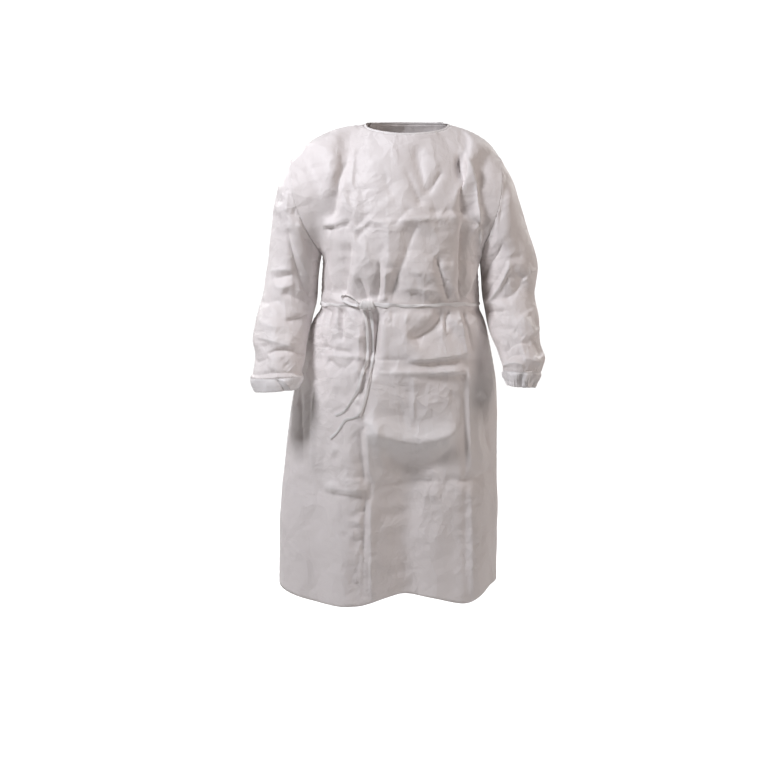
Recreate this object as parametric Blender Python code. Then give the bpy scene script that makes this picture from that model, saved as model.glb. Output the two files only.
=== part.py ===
"""Isolation gown of thin nonwoven cloth, worn form: hollow, open at neck, cuffs, hem and back.

Frame: metres, +Z up, +X to the right as seen from the front, -Y towards that viewer.
The origin is at the base of the neck, where the wearer's neck and shoulders carry the gown.
The body is cut as one front and two back halves that lap at the centre back.
"""

import math

import bmesh
import bpy
import numpy as np

# Driving dimensions, metres.
WALL = 0.0024               # thickness of the cloth wall
SEAM_GAP = 0.0003           # space between two pieces that are sewn edge to edge
ARMHOLE_GAP = 0.0007        # the same where a sleeve's ring turns away from the body
ARMPIT_Z = -0.330           # lowest level of the yoke, above it the cloth runs up to its edges
BELT_Z = -0.420
BELT_HEIGHT = 0.011
STRAP_THICKNESS = 0.0014
LAP_LIFT = 0.0055           # how far the outer back half stands off the inner one
NECK_MIDDLE_X = 0.011
NECK_HALF_WIDTH = 0.101
NECK_SIDE_Z = 0.0015
NECK_FRONT_Y = -0.075
NECK_FRONT_DROP = 0.029
NECK_BACK_Y = 0.062
NECK_BACK_RISE = 0.006
BINDING_HEIGHT = 0.006
BINDING_PROUD = 0.0003      # how far each face of the neck band stands off the wall's

# How many grid intervals each edge of a panel takes.
ARMHOLE_STEPS = 11
SHOULDER_STEPS = 8
FRONT_NECK_STEPS = 16
BACK_NECK_STEPS = 12
LAP_STEPS = 4               # the halves pass the centre back by this many intervals
LAP_RAMP_STEPS = 4          # intervals over which the outer half lifts off
YOKE_STEPS = 8              # intervals from the armpit level up to the top edge
NECK_EVENING_PASSES = 4     # times that the directions at the neck edge are evened out
SLEEVE_STEPS = 16
CUFF_STEPS = 3
SIDE_CROWDING = 0.25        # columns stand closer at the centre and wider at the sides

# Levels of the grid rows under the yoke, from the hem up. The first is the hem.
LEVELS = (-1.108, -1.03, -0.95, -0.87, -0.79, -0.71, -0.64, -0.58, -0.53,
          -0.485, -0.452, -0.430, -0.410, -0.390, -0.360, ARMPIT_Z)
BELT_LOW_ROW = 11
BELT_HIGH_ROW = 12
HEM_SWAY_TOP = -0.95        # the hem's rises and dips have died out at this level


def table(names, rows):
    """A short table as one array for each named column."""
    return dict(zip(names.split(), np.array(rows, float).T))


# Level sections of the body: its extreme left, right, front and back, where its sides lie in
# depth, and the power of its rounded outline (2 is an ellipse, more is squarer).
SECTIONS = table("z left right front back side power", (
    (-1.108, -0.299, 0.231, -0.150, 0.172, 0.015, 2.15),
    (-0.950, -0.296, 0.231, -0.150, 0.166, 0.018, 2.15),
    (-0.830, -0.286, 0.230, -0.150, 0.160, 0.020, 2.10),
    (-0.680, -0.269, 0.230, -0.152, 0.152, 0.022, 2.05),
    (-0.600, -0.254, 0.225, -0.152, 0.148, 0.024, 2.00),
    (-0.520, -0.235, 0.212, -0.149, 0.141, 0.022, 2.00),
    (-0.460, -0.213, 0.197, -0.140, 0.129, 0.014, 2.05),
    (-0.430, -0.194, 0.184, -0.128, 0.116, 0.006, 2.10),
    (-0.410, -0.193, 0.184, -0.128, 0.116, 0.004, 2.10),
    (-0.370, -0.192, 0.182, -0.141, 0.125, 0.002, 2.10),
    (-0.330, -0.189, 0.179, -0.147, 0.129, 0.000, 2.10),
))

# Shoulder seams from the sleeve's top to the neck: share of the way, place across, level.
SHOULDER_LEFT = table("share x z", (
    (0.00, -0.263, -0.081),
    (0.22, -0.235, -0.051),
    (0.50, -0.192, -0.023),
    (0.78, -0.139, -0.004),
    (1.00, -0.090, 0.0015),
))
SHOULDER_RIGHT = table("share x z", (
    (0.00, 0.231, -0.076),
    (0.22, 0.206, -0.043),
    (0.50, 0.178, -0.023),
    (0.78, 0.145, -0.008),
    (1.00, 0.112, 0.0015),
))

# Directions in which the cloth of the front arrives at its top edge, by grid column: towards
# the near side of the body, towards the back, and up. The back has the same with depth turned.
ARRIVAL = table("column side back up", (
    (0.0, 0.35, 0.00, 0.92),
    (3.0, 0.70, -0.05, 0.65),
    (6.0, 0.84, 0.22, 0.42),
    (9.0, 0.70, 0.62, 0.00),
    (11.0, 0.45, 0.76, -0.40),
    (14.0, 0.05, 0.97, 0.05),
    (17.0, -0.30, 0.88, 0.22),
    (19.0, -0.80, 0.42, 0.30),
    (21.0, -0.62, 0.50, 0.58),
    (23.0, -0.38, 0.50, 0.78),
    (27.0, 0.00, 0.48, 0.87),
))
ARRIVAL_PULL = 0.36         # length of the yoke curves' handles, as a share of their span
EVENING_PASSES = 12         # times that the yoke's columns are evened out sideways

# Rings of the sleeves from armhole to cuff: outermost and innermost point of each ring seen
# from the front, the depth of its middle, half its depth, and how far its front and back bow
# out sideways. The last rows, from CUFF_ROW on, are the cuff.
SLEEVE_COLUMNS = "out_x out_z in_x in_z middle half bow"
SLEEVE_LEFT = table(SLEEVE_COLUMNS, (
    (-0.263, -0.081, -0.191, -0.302, 0.000, 0.085, 0.020),
    (-0.287, -0.128, -0.197, -0.326, 0.004, 0.090, 0.014),
    (-0.300, -0.175, -0.200, -0.355, 0.008, 0.092, 0.008),
    (-0.312, -0.250, -0.202, -0.386, 0.010, 0.088, 0.004),
    (-0.320, -0.321, -0.204, -0.416, 0.002, 0.080, 0.000),
    (-0.331, -0.397, -0.212, -0.454, -0.018, 0.074, 0.000),
    (-0.346, -0.460, -0.221, -0.493, -0.048, 0.068, 0.000),
    (-0.349, -0.499, -0.225, -0.522, -0.070, 0.062, 0.000),
    (-0.343, -0.535, -0.229, -0.549, -0.090, 0.056, 0.000),
    (-0.347, -0.577, -0.235, -0.574, -0.108, 0.052, 0.000),
    (-0.353, -0.588, -0.231, -0.583, -0.111, 0.053, 0.000),
    (-0.343, -0.619, -0.242, -0.612, -0.118, 0.047, 0.000),
))
SLEEVE_RIGHT = table(SLEEVE_COLUMNS, (
    (0.231, -0.076, 0.181, -0.300, 0.000, 0.085, 0.018),
    (0.258, -0.123, 0.187, -0.326, 0.004, 0.090, 0.014),
    (0.277, -0.172, 0.189, -0.355, 0.008, 0.092, 0.008),
    (0.300, -0.245, 0.191, -0.386, 0.012, 0.090, 0.004),
    (0.324, -0.331, 0.194, -0.417, 0.004, 0.084, 0.000),
    (0.313, -0.392, 0.199, -0.454, -0.016, 0.076, 0.000),
    (0.321, -0.457, 0.209, -0.491, -0.046, 0.068, 0.000),
    (0.324, -0.508, 0.219, -0.520, -0.068, 0.062, 0.000),
    (0.332, -0.542, 0.226, -0.545, -0.088, 0.058, 0.000),
    (0.325, -0.565, 0.232, -0.563, -0.100, 0.050, 0.000),
    (0.322, -0.573, 0.233, -0.570, -0.103, 0.048, 0.000),
    (0.309, -0.609, 0.244, -0.605, -0.112, 0.034, 0.000),
))
CUFF_ROW = 10

# The hem isn't level: how far it rises at shares of the way from the left side seam to the right
# one, in front and behind.
HEM_SWAY = table("share front back", (
    (0.00, 0.014, 0.014),
    (0.12, 0.002, 0.008),
    (0.27, -0.013, -0.002),
    (0.40, -0.009, -0.006),
    (0.55, 0.011, 0.004),
    (0.66, 0.002, 0.002),
    (0.76, -0.010, -0.006),
    (0.88, 0.018, 0.008),
    (1.00, 0.025, 0.025),
))

# Folds, each a soft trough (negative depth) or ridge along a line seen from the front or the
# back: both ends, sideways bow at half way, half width and depth. An end past the hem keeps
# the fold open there.
FOLD_COLUMNS = "x0 z0 x1 z1 bow width depth"
FRONT_FOLDS = table(FOLD_COLUMNS, (
    # Yoke and chest.
    (-0.126, -0.060, -0.168, -0.225, 0.004, 0.014, -0.011),
    (-0.152, -0.070, -0.190, -0.215, 0.000, 0.014, 0.006),
    (0.131, -0.060, 0.146, -0.228, 0.003, 0.012, -0.011),
    (0.151, -0.060, 0.182, -0.250, 0.002, 0.013, 0.009),
    (0.142, -0.205, 0.133, -0.410, 0.000, 0.011, -0.009),
    (0.160, -0.230, 0.158, -0.400, 0.002, 0.012, 0.005),
    (0.028, -0.045, 0.052, -0.200, 0.004, 0.013, -0.004),
    (0.034, -0.205, -0.032, -0.412, 0.004, 0.013, -0.005),
    (-0.100, -0.228, 0.150, -0.217, 0.002, 0.012, 0.004),
    (-0.200, -0.240, -0.118, -0.216, -0.006, 0.012, -0.005),
    # Gathers over the belt.
    (-0.132, -0.265, -0.153, -0.420, 0.000, 0.014, -0.011),
    (-0.116, -0.330, -0.123, -0.420, 0.000, 0.011, 0.006),
    (-0.100, -0.355, -0.092, -0.420, 0.000, 0.010, -0.007),
    (-0.057, -0.300, -0.064, -0.420, 0.003, 0.011, -0.007),
    (-0.002, -0.360, -0.004, -0.420, 0.000, 0.011, -0.004),
    (0.072, -0.290, 0.104, -0.425, 0.003, 0.011, -0.007),
    (-0.172, -0.350, -0.176, -0.420, 0.000, 0.010, -0.006),
    (0.168, -0.340, 0.171, -0.420, 0.000, 0.009, -0.006),
    # Gathers and pleats under the belt.
    (-0.064, -0.420, -0.078, -0.600, -0.004, 0.013, -0.020),
    (-0.092, -0.415, -0.106, -0.620, 0.000, 0.013, 0.008),
    (-0.040, -0.415, -0.048, -0.600, 0.000, 0.013, 0.008),
    (-0.139, -0.420, -0.146, -0.540, 0.000, 0.010, -0.009),
    (-0.164, -0.420, -0.186, -0.560, 0.004, 0.012, -0.008),
    (0.011, -0.497, 0.099, -0.431, 0.016, 0.015, -0.009),
    (0.022, -0.420, 0.034, -0.520, 0.000, 0.012, -0.004),
    (0.118, -0.420, 0.122, -0.560, 0.000, 0.010, -0.008),
    (0.162, -0.420, 0.178, -0.600, 0.000, 0.012, -0.007),
    # Upright folds from packing and the drape between them down to the hem.
    (-0.088, -0.520, -0.090, -1.300, 0.004, 0.012, 0.007),
    (-0.118, -0.560, -0.128, -1.600, 0.000, 0.045, 0.018),
    (0.016, -0.640, 0.010, -1.600, 0.000, 0.055, -0.034),
    (0.134, -0.420, 0.154, -1.550, 0.012, 0.015, 0.012),
    (0.160, -0.700, 0.168, -1.600, 0.000, 0.045, 0.014),
    (-0.206, -0.700, -0.214, -1.600, 0.000, 0.040, -0.014),
    (0.206, -0.620, 0.214, -1.500, 0.000, 0.014, -0.007),
    # Level folds and the sag between the thighs.
    (-0.225, -0.541, -0.095, -0.537, 0.003, 0.012, -0.004),
    (-0.060, -0.556, 0.160, -0.545, 0.003, 0.013, -0.005),
    (-0.096, -0.693, 0.140, -0.698, 0.034, 0.026, 0.013),
    (-0.070, -0.748, 0.130, -0.752, 0.040, 0.030, -0.002),
    (0.026, -0.570, 0.027, -0.700, 0.000, 0.010, 0.004),
    (-0.280, -0.826, -0.060, -0.842, 0.004, 0.012, 0.004),
    (-0.090, -0.842, 0.235, -0.805, -0.012, 0.012, 0.004),
    (-0.176, -0.540, -0.140, -0.590, 0.000, 0.011, -0.006),
    (-0.140, -0.840, -0.108, -0.930, 0.000, 0.012, -0.005),
    (-0.095, -0.945, -0.122, -1.070, 0.000, 0.012, -0.005),
))
BACK_FOLDS = table(FOLD_COLUMNS, (
    (-0.150, -0.050, -0.178, -0.260, 0.004, 0.014, -0.009),
    (0.140, -0.055, 0.166, -0.265, 0.004, 0.014, -0.009),
    (-0.180, -0.232, 0.175, -0.224, 0.004, 0.013, 0.004),
    (-0.110, -0.430, -0.140, -1.500, 0.006, 0.045, 0.018),
    (0.125, -0.430, 0.150, -1.500, 0.006, 0.042, 0.016),
    (0.010, -0.640, 0.015, -1.600, 0.000, 0.050, -0.020),
    (-0.205, -0.620, -0.225, -1.600, 0.000, 0.035, -0.012),
    (0.188, -0.620, 0.196, -1.600, 0.000, 0.030, -0.010),
    (-0.240, -0.838, 0.210, -0.826, 0.008, 0.013, 0.004),
    (-0.190, -0.560, 0.170, -0.548, 0.005, 0.013, -0.004),
))
# Gathers of the back at the belt, placed by a loop.
BACK_GATHERS = 13
BACK_GATHER_SPAN = 0.330
BACK_GATHER_WIDTH = 0.0095
BACK_GATHER_DEPTH = 0.008
UNEVEN = 0.618              # steps round a circle by the golden share, never repeating

# Folds of the sleeves, seen from the front (side -1) or the back (side 1).
SLEEVE_FOLD_COLUMNS = "side " + FOLD_COLUMNS
SLEEVE_LEFT_FOLDS = table(SLEEVE_FOLD_COLUMNS, (
    (-1, -0.276, -0.190, -0.205, -0.420, 0.010, 0.013, -0.008),
    (-1, -0.262, -0.195, -0.190, -0.255, 0.003, 0.011, -0.006),
    (-1, -0.325, -0.358, -0.240, -0.345, 0.004, 0.012, -0.008),
    (-1, -0.330, -0.395, -0.225, -0.430, 0.006, 0.012, -0.006),
    (-1, -0.345, -0.455, -0.232, -0.462, -0.012, 0.012, -0.007),
    (-1, -0.348, -0.520, -0.240, -0.528, -0.008, 0.011, -0.006),
    (-1, -0.300, -0.430, -0.290, -0.560, 0.004, 0.012, 0.005),
    (1, -0.300, -0.180, -0.215, -0.400, 0.008, 0.014, -0.008),
    (1, -0.325, -0.350, -0.225, -0.385, 0.005, 0.012, -0.008),
    (1, -0.340, -0.420, -0.230, -0.440, 0.006, 0.012, -0.007),
    (1, -0.345, -0.505, -0.240, -0.515, -0.006, 0.012, -0.006),
))
SLEEVE_RIGHT_FOLDS = table(SLEEVE_FOLD_COLUMNS, (
    (-1, 0.222, -0.100, 0.224, -0.262, 0.002, 0.012, -0.007),
    (-1, 0.182, -0.206, 0.262, -0.172, 0.003, 0.011, 0.005),
    (-1, 0.246, -0.262, 0.182, -0.372, 0.004, 0.013, -0.009),
    (-1, 0.262, -0.300, 0.196, -0.420, 0.003, 0.013, 0.008),
    (-1, 0.322, -0.352, 0.250, -0.372, 0.003, 0.012, -0.008),
    (-1, 0.318, -0.420, 0.215, -0.440, -0.006, 0.012, -0.006),
    (-1, 0.325, -0.490, 0.222, -0.500, -0.008, 0.012, -0.006),
    (-1, 0.275, -0.440, 0.282, -0.560, 0.000, 0.012, 0.005),
    (1, 0.290, -0.170, 0.205, -0.390, -0.008, 0.014, -0.008),
    (1, 0.320, -0.350, 0.215, -0.380, 0.005, 0.012, -0.008),
    (1, 0.318, -0.430, 0.215, -0.455, 0.006, 0.012, -0.007),
    (1, 0.325, -0.505, 0.225, -0.515, -0.006, 0.012, -0.006),
))
CUFF_GATHERS_LEFT = 5
CUFF_GATHERS_RIGHT = 9
CUFF_GATHER_DEPTH_LEFT = 0.0012
CUFF_GATHER_DEPTH_RIGHT = 0.0026

# The belt's knot and its loose ends lie on the front: place across, level and lift off it.
KNOT = (-0.083, -0.419)
KNOT_HALF_SIZE = (0.019, 0.0095, 0.0055)
KNOT_LIFT = 0.0105
ROUTE_COLUMNS = "x z lift"
LOOP_ROUTE = table(ROUTE_COLUMNS, (
    (-0.1036, -0.4130, 0.0085),
    (-0.1120, -0.4050, 0.0085),
    (-0.1230, -0.3990, 0.0082),
    (-0.1340, -0.3965, 0.0078),
    (-0.1410, -0.4000, 0.0074),
    (-0.1395, -0.4070, 0.0072),
    (-0.1300, -0.4125, 0.0072),
    (-0.1180, -0.4175, 0.0074),
    (-0.1045, -0.4215, 0.0078),
))
TAIL_A_ROUTE = table(ROUTE_COLUMNS, (
    (-0.0890, -0.4305, 0.0085),
    (-0.0850, -0.4480, 0.0065),
    (-0.0820, -0.4700, 0.0050),
    (-0.0810, -0.4950, 0.0046),
    (-0.0805, -0.5200, 0.0046),
    (-0.0820, -0.5450, 0.0046),
    (-0.0900, -0.5660, 0.0046),
    (-0.0960, -0.5850, 0.0046),
    (-0.1010, -0.6050, 0.0044),
    (-0.1130, -0.6290, 0.0044),
    (-0.1260, -0.6500, 0.0044),
    (-0.1370, -0.6640, 0.0044),
    (-0.1560, -0.6730, 0.0044),
))
TAIL_B_ROUTE = table(ROUTE_COLUMNS, (
    (-0.0755, -0.4305, 0.0085),
    (-0.0720, -0.4500, 0.0065),
    (-0.0695, -0.4750, 0.0050),
    (-0.0690, -0.5000, 0.0046),
    (-0.0690, -0.5250, 0.0046),
    (-0.0700, -0.5450, 0.0046),
    (-0.0735, -0.5700, 0.0046),
    (-0.0790, -0.6000, 0.0044),
    (-0.0870, -0.6350, 0.0044),
    (-0.0990, -0.6660, 0.0044),
    (-0.1140, -0.6760, 0.0044),
    (-0.1300, -0.6800, 0.0044),
    (-0.1410, -0.6940, 0.0044),
    (-0.1520, -0.7100, 0.0044),
    (-0.1680, -0.7260, 0.0044),
))
TAIL_WIDTH = 0.008
TAIL_STEPS = 26
LOOP_STEPS = 18

CLOTH_COLOUR = (0.86, 0.84, 0.84, 1.0)
TRIM_COLOUR = (0.90, 0.88, 0.87, 1.0)
BELT_COLOUR = (0.88, 0.86, 0.85, 1.0)
CLOTH_ROUGHNESS = 0.55


def smooth(at, knots, values):
    """Values of a cubic through each knot that never swings past its neighbours."""
    if knots[0] > knots[-1]:
        knots, values = knots[::-1], values[::-1]
    spans = np.diff(knots)
    slopes = np.diff(values) / spans
    product = slopes[:-1] * slopes[1:]
    total = slopes[:-1] + slopes[1:]
    inner = np.where(product > 0, 2 * product / np.where(total == 0, 1, total), 0)
    tangents = np.concatenate((slopes[:1], inner, slopes[-1:]))
    place = np.clip(np.searchsorted(knots, at) - 1, 0, len(spans) - 1)
    t = np.clip((at - knots[place]) / spans[place], 0, 1)
    rise = values[place + 1] - values[place]
    start = tangents[place] * spans[place]
    end = tangents[place + 1] * spans[place]
    return values[place] + start * t + (3 * rise - 2 * start - end) * t**2 + (start + end - 2 * rise) * t**3


def unit(vectors):
    """Vectors of length one, along the last axis."""
    return vectors / np.maximum(np.linalg.norm(vectors, axis=-1, keepdims=True), 1e-12)


def ease(value):
    """0 to 1 with a soft start and end."""
    t = np.clip(value, 0, 1)
    return t * t * (3 - 2 * t)


def fold_height(folds, x, z):
    """Sum of the folds' heights at places seen from the front or back: a bell across each fold's
    bowed line, fading over a quarter of its length at both ends."""
    height = np.zeros(np.shape(x))
    for x0, z0, x1, z1, bow, width, depth in zip(*(folds[name] for name in FOLD_COLUMNS.split())):
        length = math.hypot(x1 - x0, z1 - z0)
        along_x, along_z = (x1 - x0) / length, (z1 - z0) / length
        share = ((x - x0) * along_x + (z - z0) * along_z) / length
        inside = np.clip(share, 0, 1)
        across = (x - x0) * along_z - (z - z0) * along_x - bow * 4 * inside * (1 - inside)
        past = (share - inside) * length
        fade = ease(inside * 4 + 0.15) * ease((1 - inside) * 4 + 0.15)
        height += depth * fade * np.exp(-(across**2 + past**2) / width**2)
    return height


def back_gathers():
    """Rows of the short gathers above and under the belt at the back, uneven in length and depth."""
    rows = []
    for index in range(BACK_GATHERS):
        turn = (index * UNEVEN) % 1
        x = BACK_GATHER_SPAN * ((index + 0.35 * turn) / (BACK_GATHERS - 1) - 0.5)
        depth = -BACK_GATHER_DEPTH * (0.6 + 0.4 * turn)
        lean = x * (0.12 + 0.10 * turn)
        above = 0.055 + 0.060 * turn
        below = 0.090 + 0.080 * (1 - turn)
        rows.append((x + lean * 0.3, BELT_Z + above, x, BELT_Z, 0, BACK_GATHER_WIDTH, depth))
        rows.append((x, BELT_Z, x + lean, BELT_Z - below, 0, BACK_GATHER_WIDTH, depth))
    return table(FOLD_COLUMNS, rows)


def belt_hold(z):
    """Share of a fold's height that the belt leaves: a tenth under the strap, all of it away."""
    return 1 - 0.9 * np.exp(-(np.maximum(np.abs(z - BELT_Z) - BELT_HEIGHT, 0) / 0.014)**2)


def body_ring(share, z, back):
    """Points of the body's rounded level outline. share runs from the left side seam to the
    right one, through the front, or through the back where back is true."""
    angle = math.pi * (share + SIDE_CROWDING * np.sin(2 * math.pi * share) / (2 * math.pi))
    left, right, front, rear, side, power = (
        smooth(z, SECTIONS["z"], SECTIONS[name]) for name in ("left", "right", "front", "back", "side", "power"))
    across = np.sign(np.cos(angle)) * np.abs(np.cos(angle))**(2 / power)
    depth = np.abs(np.sin(angle))**(2 / power)
    x = (left + right) / 2 - (right - left) / 2 * across
    reach = rear if back else front
    return np.stack((x, side + (reach - side) * depth, z), axis=-1)


def sleeve_ring(sleeve, row, turn):
    """Points of a sleeve's ring: an ellipse through its outermost and innermost points, bowed
    sideways in front and behind. turn runs from the underarm (0) over the front to the top
    (half a circle) and down the back."""
    values = {name: smooth(row, np.arange(len(column)), column) for name, column in sleeve.items()}
    cos, sin = np.cos(turn), np.sin(turn)
    side = math.copysign(1, sleeve["out_x"][0])
    x = (values["out_x"] + values["in_x"]) / 2 - (values["out_x"] - values["in_x"]) / 2 * cos
    z = (values["out_z"] + values["in_z"]) / 2 - (values["out_z"] - values["in_z"]) / 2 * cos
    y = values["middle"] - values["half"] * sin
    return np.stack((x + side * values["bow"] * sin**2, y, z), axis=-1)


def shoulder_line(shoulder, shares):
    """Points of a shoulder seam from the sleeve's top to the neck."""
    x = smooth(shares, shoulder["share"], shoulder["x"])
    z = smooth(shares, shoulder["share"], shoulder["z"])
    return np.stack((x, np.zeros_like(x), z), axis=-1)


def neck_line(shares, back):
    """Points of the neck edge from left to right: half an ellipse that dips in front."""
    angle = math.pi * shares
    x = NECK_MIDDLE_X - NECK_HALF_WIDTH * np.cos(angle)
    y = (NECK_BACK_Y if back else NECK_FRONT_Y) * np.sin(angle)
    z = NECK_SIDE_Z + (NECK_BACK_RISE if back else -NECK_FRONT_DROP) * np.sin(angle)
    return np.stack((x, y, z), axis=-1)


def top_edge(back):
    """The top edge of the front or back: armhole, shoulder, neck, shoulder, armhole."""
    sign = -1 if back else 1
    arm = np.linspace(0, math.pi, ARMHOLE_STEPS + 1) * sign
    seam = np.linspace(0, 1, SHOULDER_STEPS + 1)
    neck = np.linspace(0, 1, (BACK_NECK_STEPS if back else FRONT_NECK_STEPS) + 1)
    start = np.zeros_like(arm)
    return np.concatenate((
        sleeve_ring(SLEEVE_LEFT, start, arm)[:-1],
        shoulder_line(SHOULDER_LEFT, seam)[:-1],
        neck_line(neck, back),
        shoulder_line(SHOULDER_RIGHT, seam)[::-1][1:],
        sleeve_ring(SLEEVE_RIGHT, start, arm)[::-1][1:],
    ))


def arrivals(columns, back):
    """Unit directions in which the cloth reaches its top edge, one for each column. The back's
    neck has fewer columns, which spread over the same part of the table."""
    index = np.arange(columns)
    inward = np.minimum(index, columns - 1 - index).astype(float)
    corner = ARMHOLE_STEPS + SHOULDER_STEPS
    stretch = (ARRIVAL["column"][-1] - corner) / ((columns - 1) / 2 - corner)
    inward = np.where(inward > corner, corner + (inward - corner) * stretch, inward)
    near_side = np.where(index < columns / 2, -1, 1)
    x = near_side * smooth(inward, ARRIVAL["column"], ARRIVAL["side"])
    y = smooth(inward, ARRIVAL["column"], ARRIVAL["back"]) * (-1 if back else 1)
    return unit(np.stack((x, y, smooth(inward, ARRIVAL["column"], ARRIVAL["up"])), axis=-1))


def base_surface(back):
    """The smooth front or back without folds, rows from hem to top edge and columns from the
    left side seam to the right one. Under the armpit each row is a level section, above it each
    column is one cubic curve from the section to the top edge."""
    edge = top_edge(back)
    columns = len(edge)
    share = np.linspace(0, 1, columns)
    lower = np.stack([body_ring(share, np.full(columns, level), back) for level in LEVELS])
    sway = smooth(share, HEM_SWAY["share"], HEM_SWAY["back" if back else "front"])
    lower[..., 2] += sway * ease((HEM_SWAY_TOP - lower[..., 2]) / (HEM_SWAY_TOP - LEVELS[0]))
    start = lower[-1]
    span = np.linalg.norm(edge - start, axis=-1, keepdims=True)
    rise = unit(unit(edge - start) * 0.4 + np.array((0, 0, 1.0)))
    first = start + rise * span * ARRIVAL_PULL
    second = edge - arrivals(columns, back) * span * ARRIVAL_PULL
    t = np.linspace(0, 1, YOKE_STEPS + 1)[1:, None, None]
    upper = (1 - t)**3 * start + 3 * (1 - t)**2 * t * first + 3 * (1 - t) * t**2 * second + t**3 * edge
    index = np.arange(1, columns - 1)
    share_moved = 0.5 * (1 - t) * ease(np.minimum(index, columns - 1 - index) / 5)[None, :, None]
    for _ in range(EVENING_PASSES):
        between = (upper[:, :-2] + upper[:, 2:]) / 2
        upper[:, 1:-1] += (between - upper[:, 1:-1]) * share_moved
    return np.concatenate((lower, upper))


def grid_normals(grid, closed):
    """Unit normals of a grid by its central differences; closed grids wrap round their columns."""
    if closed:
        around = np.roll(grid, -1, axis=1) - np.roll(grid, 1, axis=1)
    else:
        around = np.gradient(grid, axis=1)
    return unit(np.cross(around, np.gradient(grid, axis=0)))


def body_surfaces():
    """Front and back without folds, with normals that agree along the side and shoulder seams."""
    front, back = base_surface(False), base_surface(True)
    loop = np.concatenate((front, back[:, ::-1][:, 1:-1]), axis=1)
    normals = grid_normals(loop, True)
    columns = front.shape[1]
    front_normals = normals[:, :columns]
    back_normals = np.concatenate((normals[:, :1], normals[:, columns:][:, ::-1], front_normals[:, -1:]), axis=1)
    seam = np.arange(ARMHOLE_STEPS, ARMHOLE_STEPS + SHOULDER_STEPS + 1)
    for picks in (seam, -1 - seam):
        shared = unit(front_normals[-1, picks] + back_normals[-1, picks])
        front_normals[-1, picks] = shared
        back_normals[-1, picks] = shared
    even_neck(front_normals[-1], back_normals[-1])
    return front, front_normals, back, back_normals


def even_neck(front_row, back_row):
    """Even out the wall's directions round the neck edge, in place."""
    corner = ARMHOLE_STEPS + SHOULDER_STEPS
    front_neck = slice(corner, corner + FRONT_NECK_STEPS + 1)
    back_neck = slice(corner, corner + BACK_NECK_STEPS + 1)
    ring = np.concatenate((front_row[front_neck], back_row[back_neck][-2:0:-1]))
    for _ in range(NECK_EVENING_PASSES):
        ring = unit(2 * ring + np.roll(ring, 1, axis=0) + np.roll(ring, -1, axis=0))
    front_row[front_neck] = ring[:FRONT_NECK_STEPS + 1]
    back_row[back_neck] = np.concatenate((ring[:1], ring[:FRONT_NECK_STEPS - 1:-1]))


def edge_hold(grid):
    """0 at the side seams and the top edge and 1 inside, so that folds never open a seam."""
    rows, columns = grid.shape[:2]
    index = np.arange(columns)
    sides = ease(np.minimum(index, columns - 1 - index) / 4)
    top = ease((rows - 1 - np.arange(rows)) / 2)
    return sides[None, :] * top[:, None]


def folded(grid, normals, folds):
    """A panel's grid pushed in and out along its normals by its folds."""
    height = fold_height(folds, grid[..., 0], grid[..., 2])
    return grid + normals * (height * edge_hold(grid) * belt_hold(grid[..., 2]))[..., None]


def sleeve_turns():
    """Turns of the sleeve's ring points, the same ones that the armhole edges have."""
    return np.arange(2 * ARMHOLE_STEPS) * math.pi / ARMHOLE_STEPS


def sleeve_surface(sleeve, folds):
    """A sleeve's grid, rows from armhole to wrist and columns round, with outward normals.
    Folds push the points out or in; they fade at both ends."""
    side = math.copysign(1, sleeve["out_x"][0])
    rows = np.linspace(0, CUFF_ROW, SLEEVE_STEPS + 1)
    turns = sleeve_turns()
    grid = np.stack([sleeve_ring(sleeve, np.full(turns.shape, row), turns) for row in rows])
    normals = -side * grid_normals(grid, True)
    facing = np.sign(np.sin(turns)) * -1
    hold = ease(rows / 1.5) * ease((CUFF_ROW - rows) / 1.0)
    height = np.zeros(grid.shape[:2])
    for face in (-1, 1):
        rows_of_face = {name: column[folds["side"] == face] for name, column in folds.items()}
        height += fold_height(rows_of_face, grid[..., 0], grid[..., 2]) * np.clip(facing * face, 0, 1)
    height *= np.abs(np.sin(turns))**0.5 * hold[:, None]
    return grid + normals * height[..., None], normals


def cuff_surface(sleeve, gathers, depth):
    """A cuff's grid from the sleeve's end to the wrist opening, with even soft gathers."""
    side = math.copysign(1, sleeve["out_x"][0])
    rows = np.linspace(CUFF_ROW, CUFF_ROW + 1, CUFF_STEPS + 1)
    turns = sleeve_turns()
    grid = np.stack([sleeve_ring(sleeve, np.full(turns.shape, row), turns) for row in rows])
    normals = -side * grid_normals(grid, True)
    waves = np.cos(gathers * turns) * depth
    swell = np.sin(np.linspace(0, math.pi, CUFF_STEPS + 1)) * 0.0015
    height = waves * ease((rows - CUFF_ROW) * 2)[:, None] + swell[:, None]
    return grid + normals * height[..., None], normals


def new_object(name, vertices, faces, colour):
    """One closed body as its own object, faces outward, with its own material."""
    shape = bmesh.new()
    points = [shape.verts.new(point) for point in vertices]
    for face in faces:
        shape.faces.new([points[index] for index in face])
    bmesh.ops.recalc_face_normals(shape, faces=shape.faces)
    mesh = bpy.data.meshes.new(name)
    shape.to_mesh(mesh)
    shape.free()
    mesh.shade_smooth()
    material = bpy.data.materials.new(name)
    material.use_nodes = True
    shader = material.node_tree.nodes["Principled BSDF"]
    shader.inputs["Base Color"].default_value = colour
    shader.inputs["Roughness"].default_value = CLOTH_ROUGHNESS
    shader.inputs["Metallic"].default_value = 0.0
    mesh.materials.append(material)
    made = bpy.data.objects.new(name, mesh)
    bpy.context.scene.collection.objects.link(made)
    return made


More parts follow.
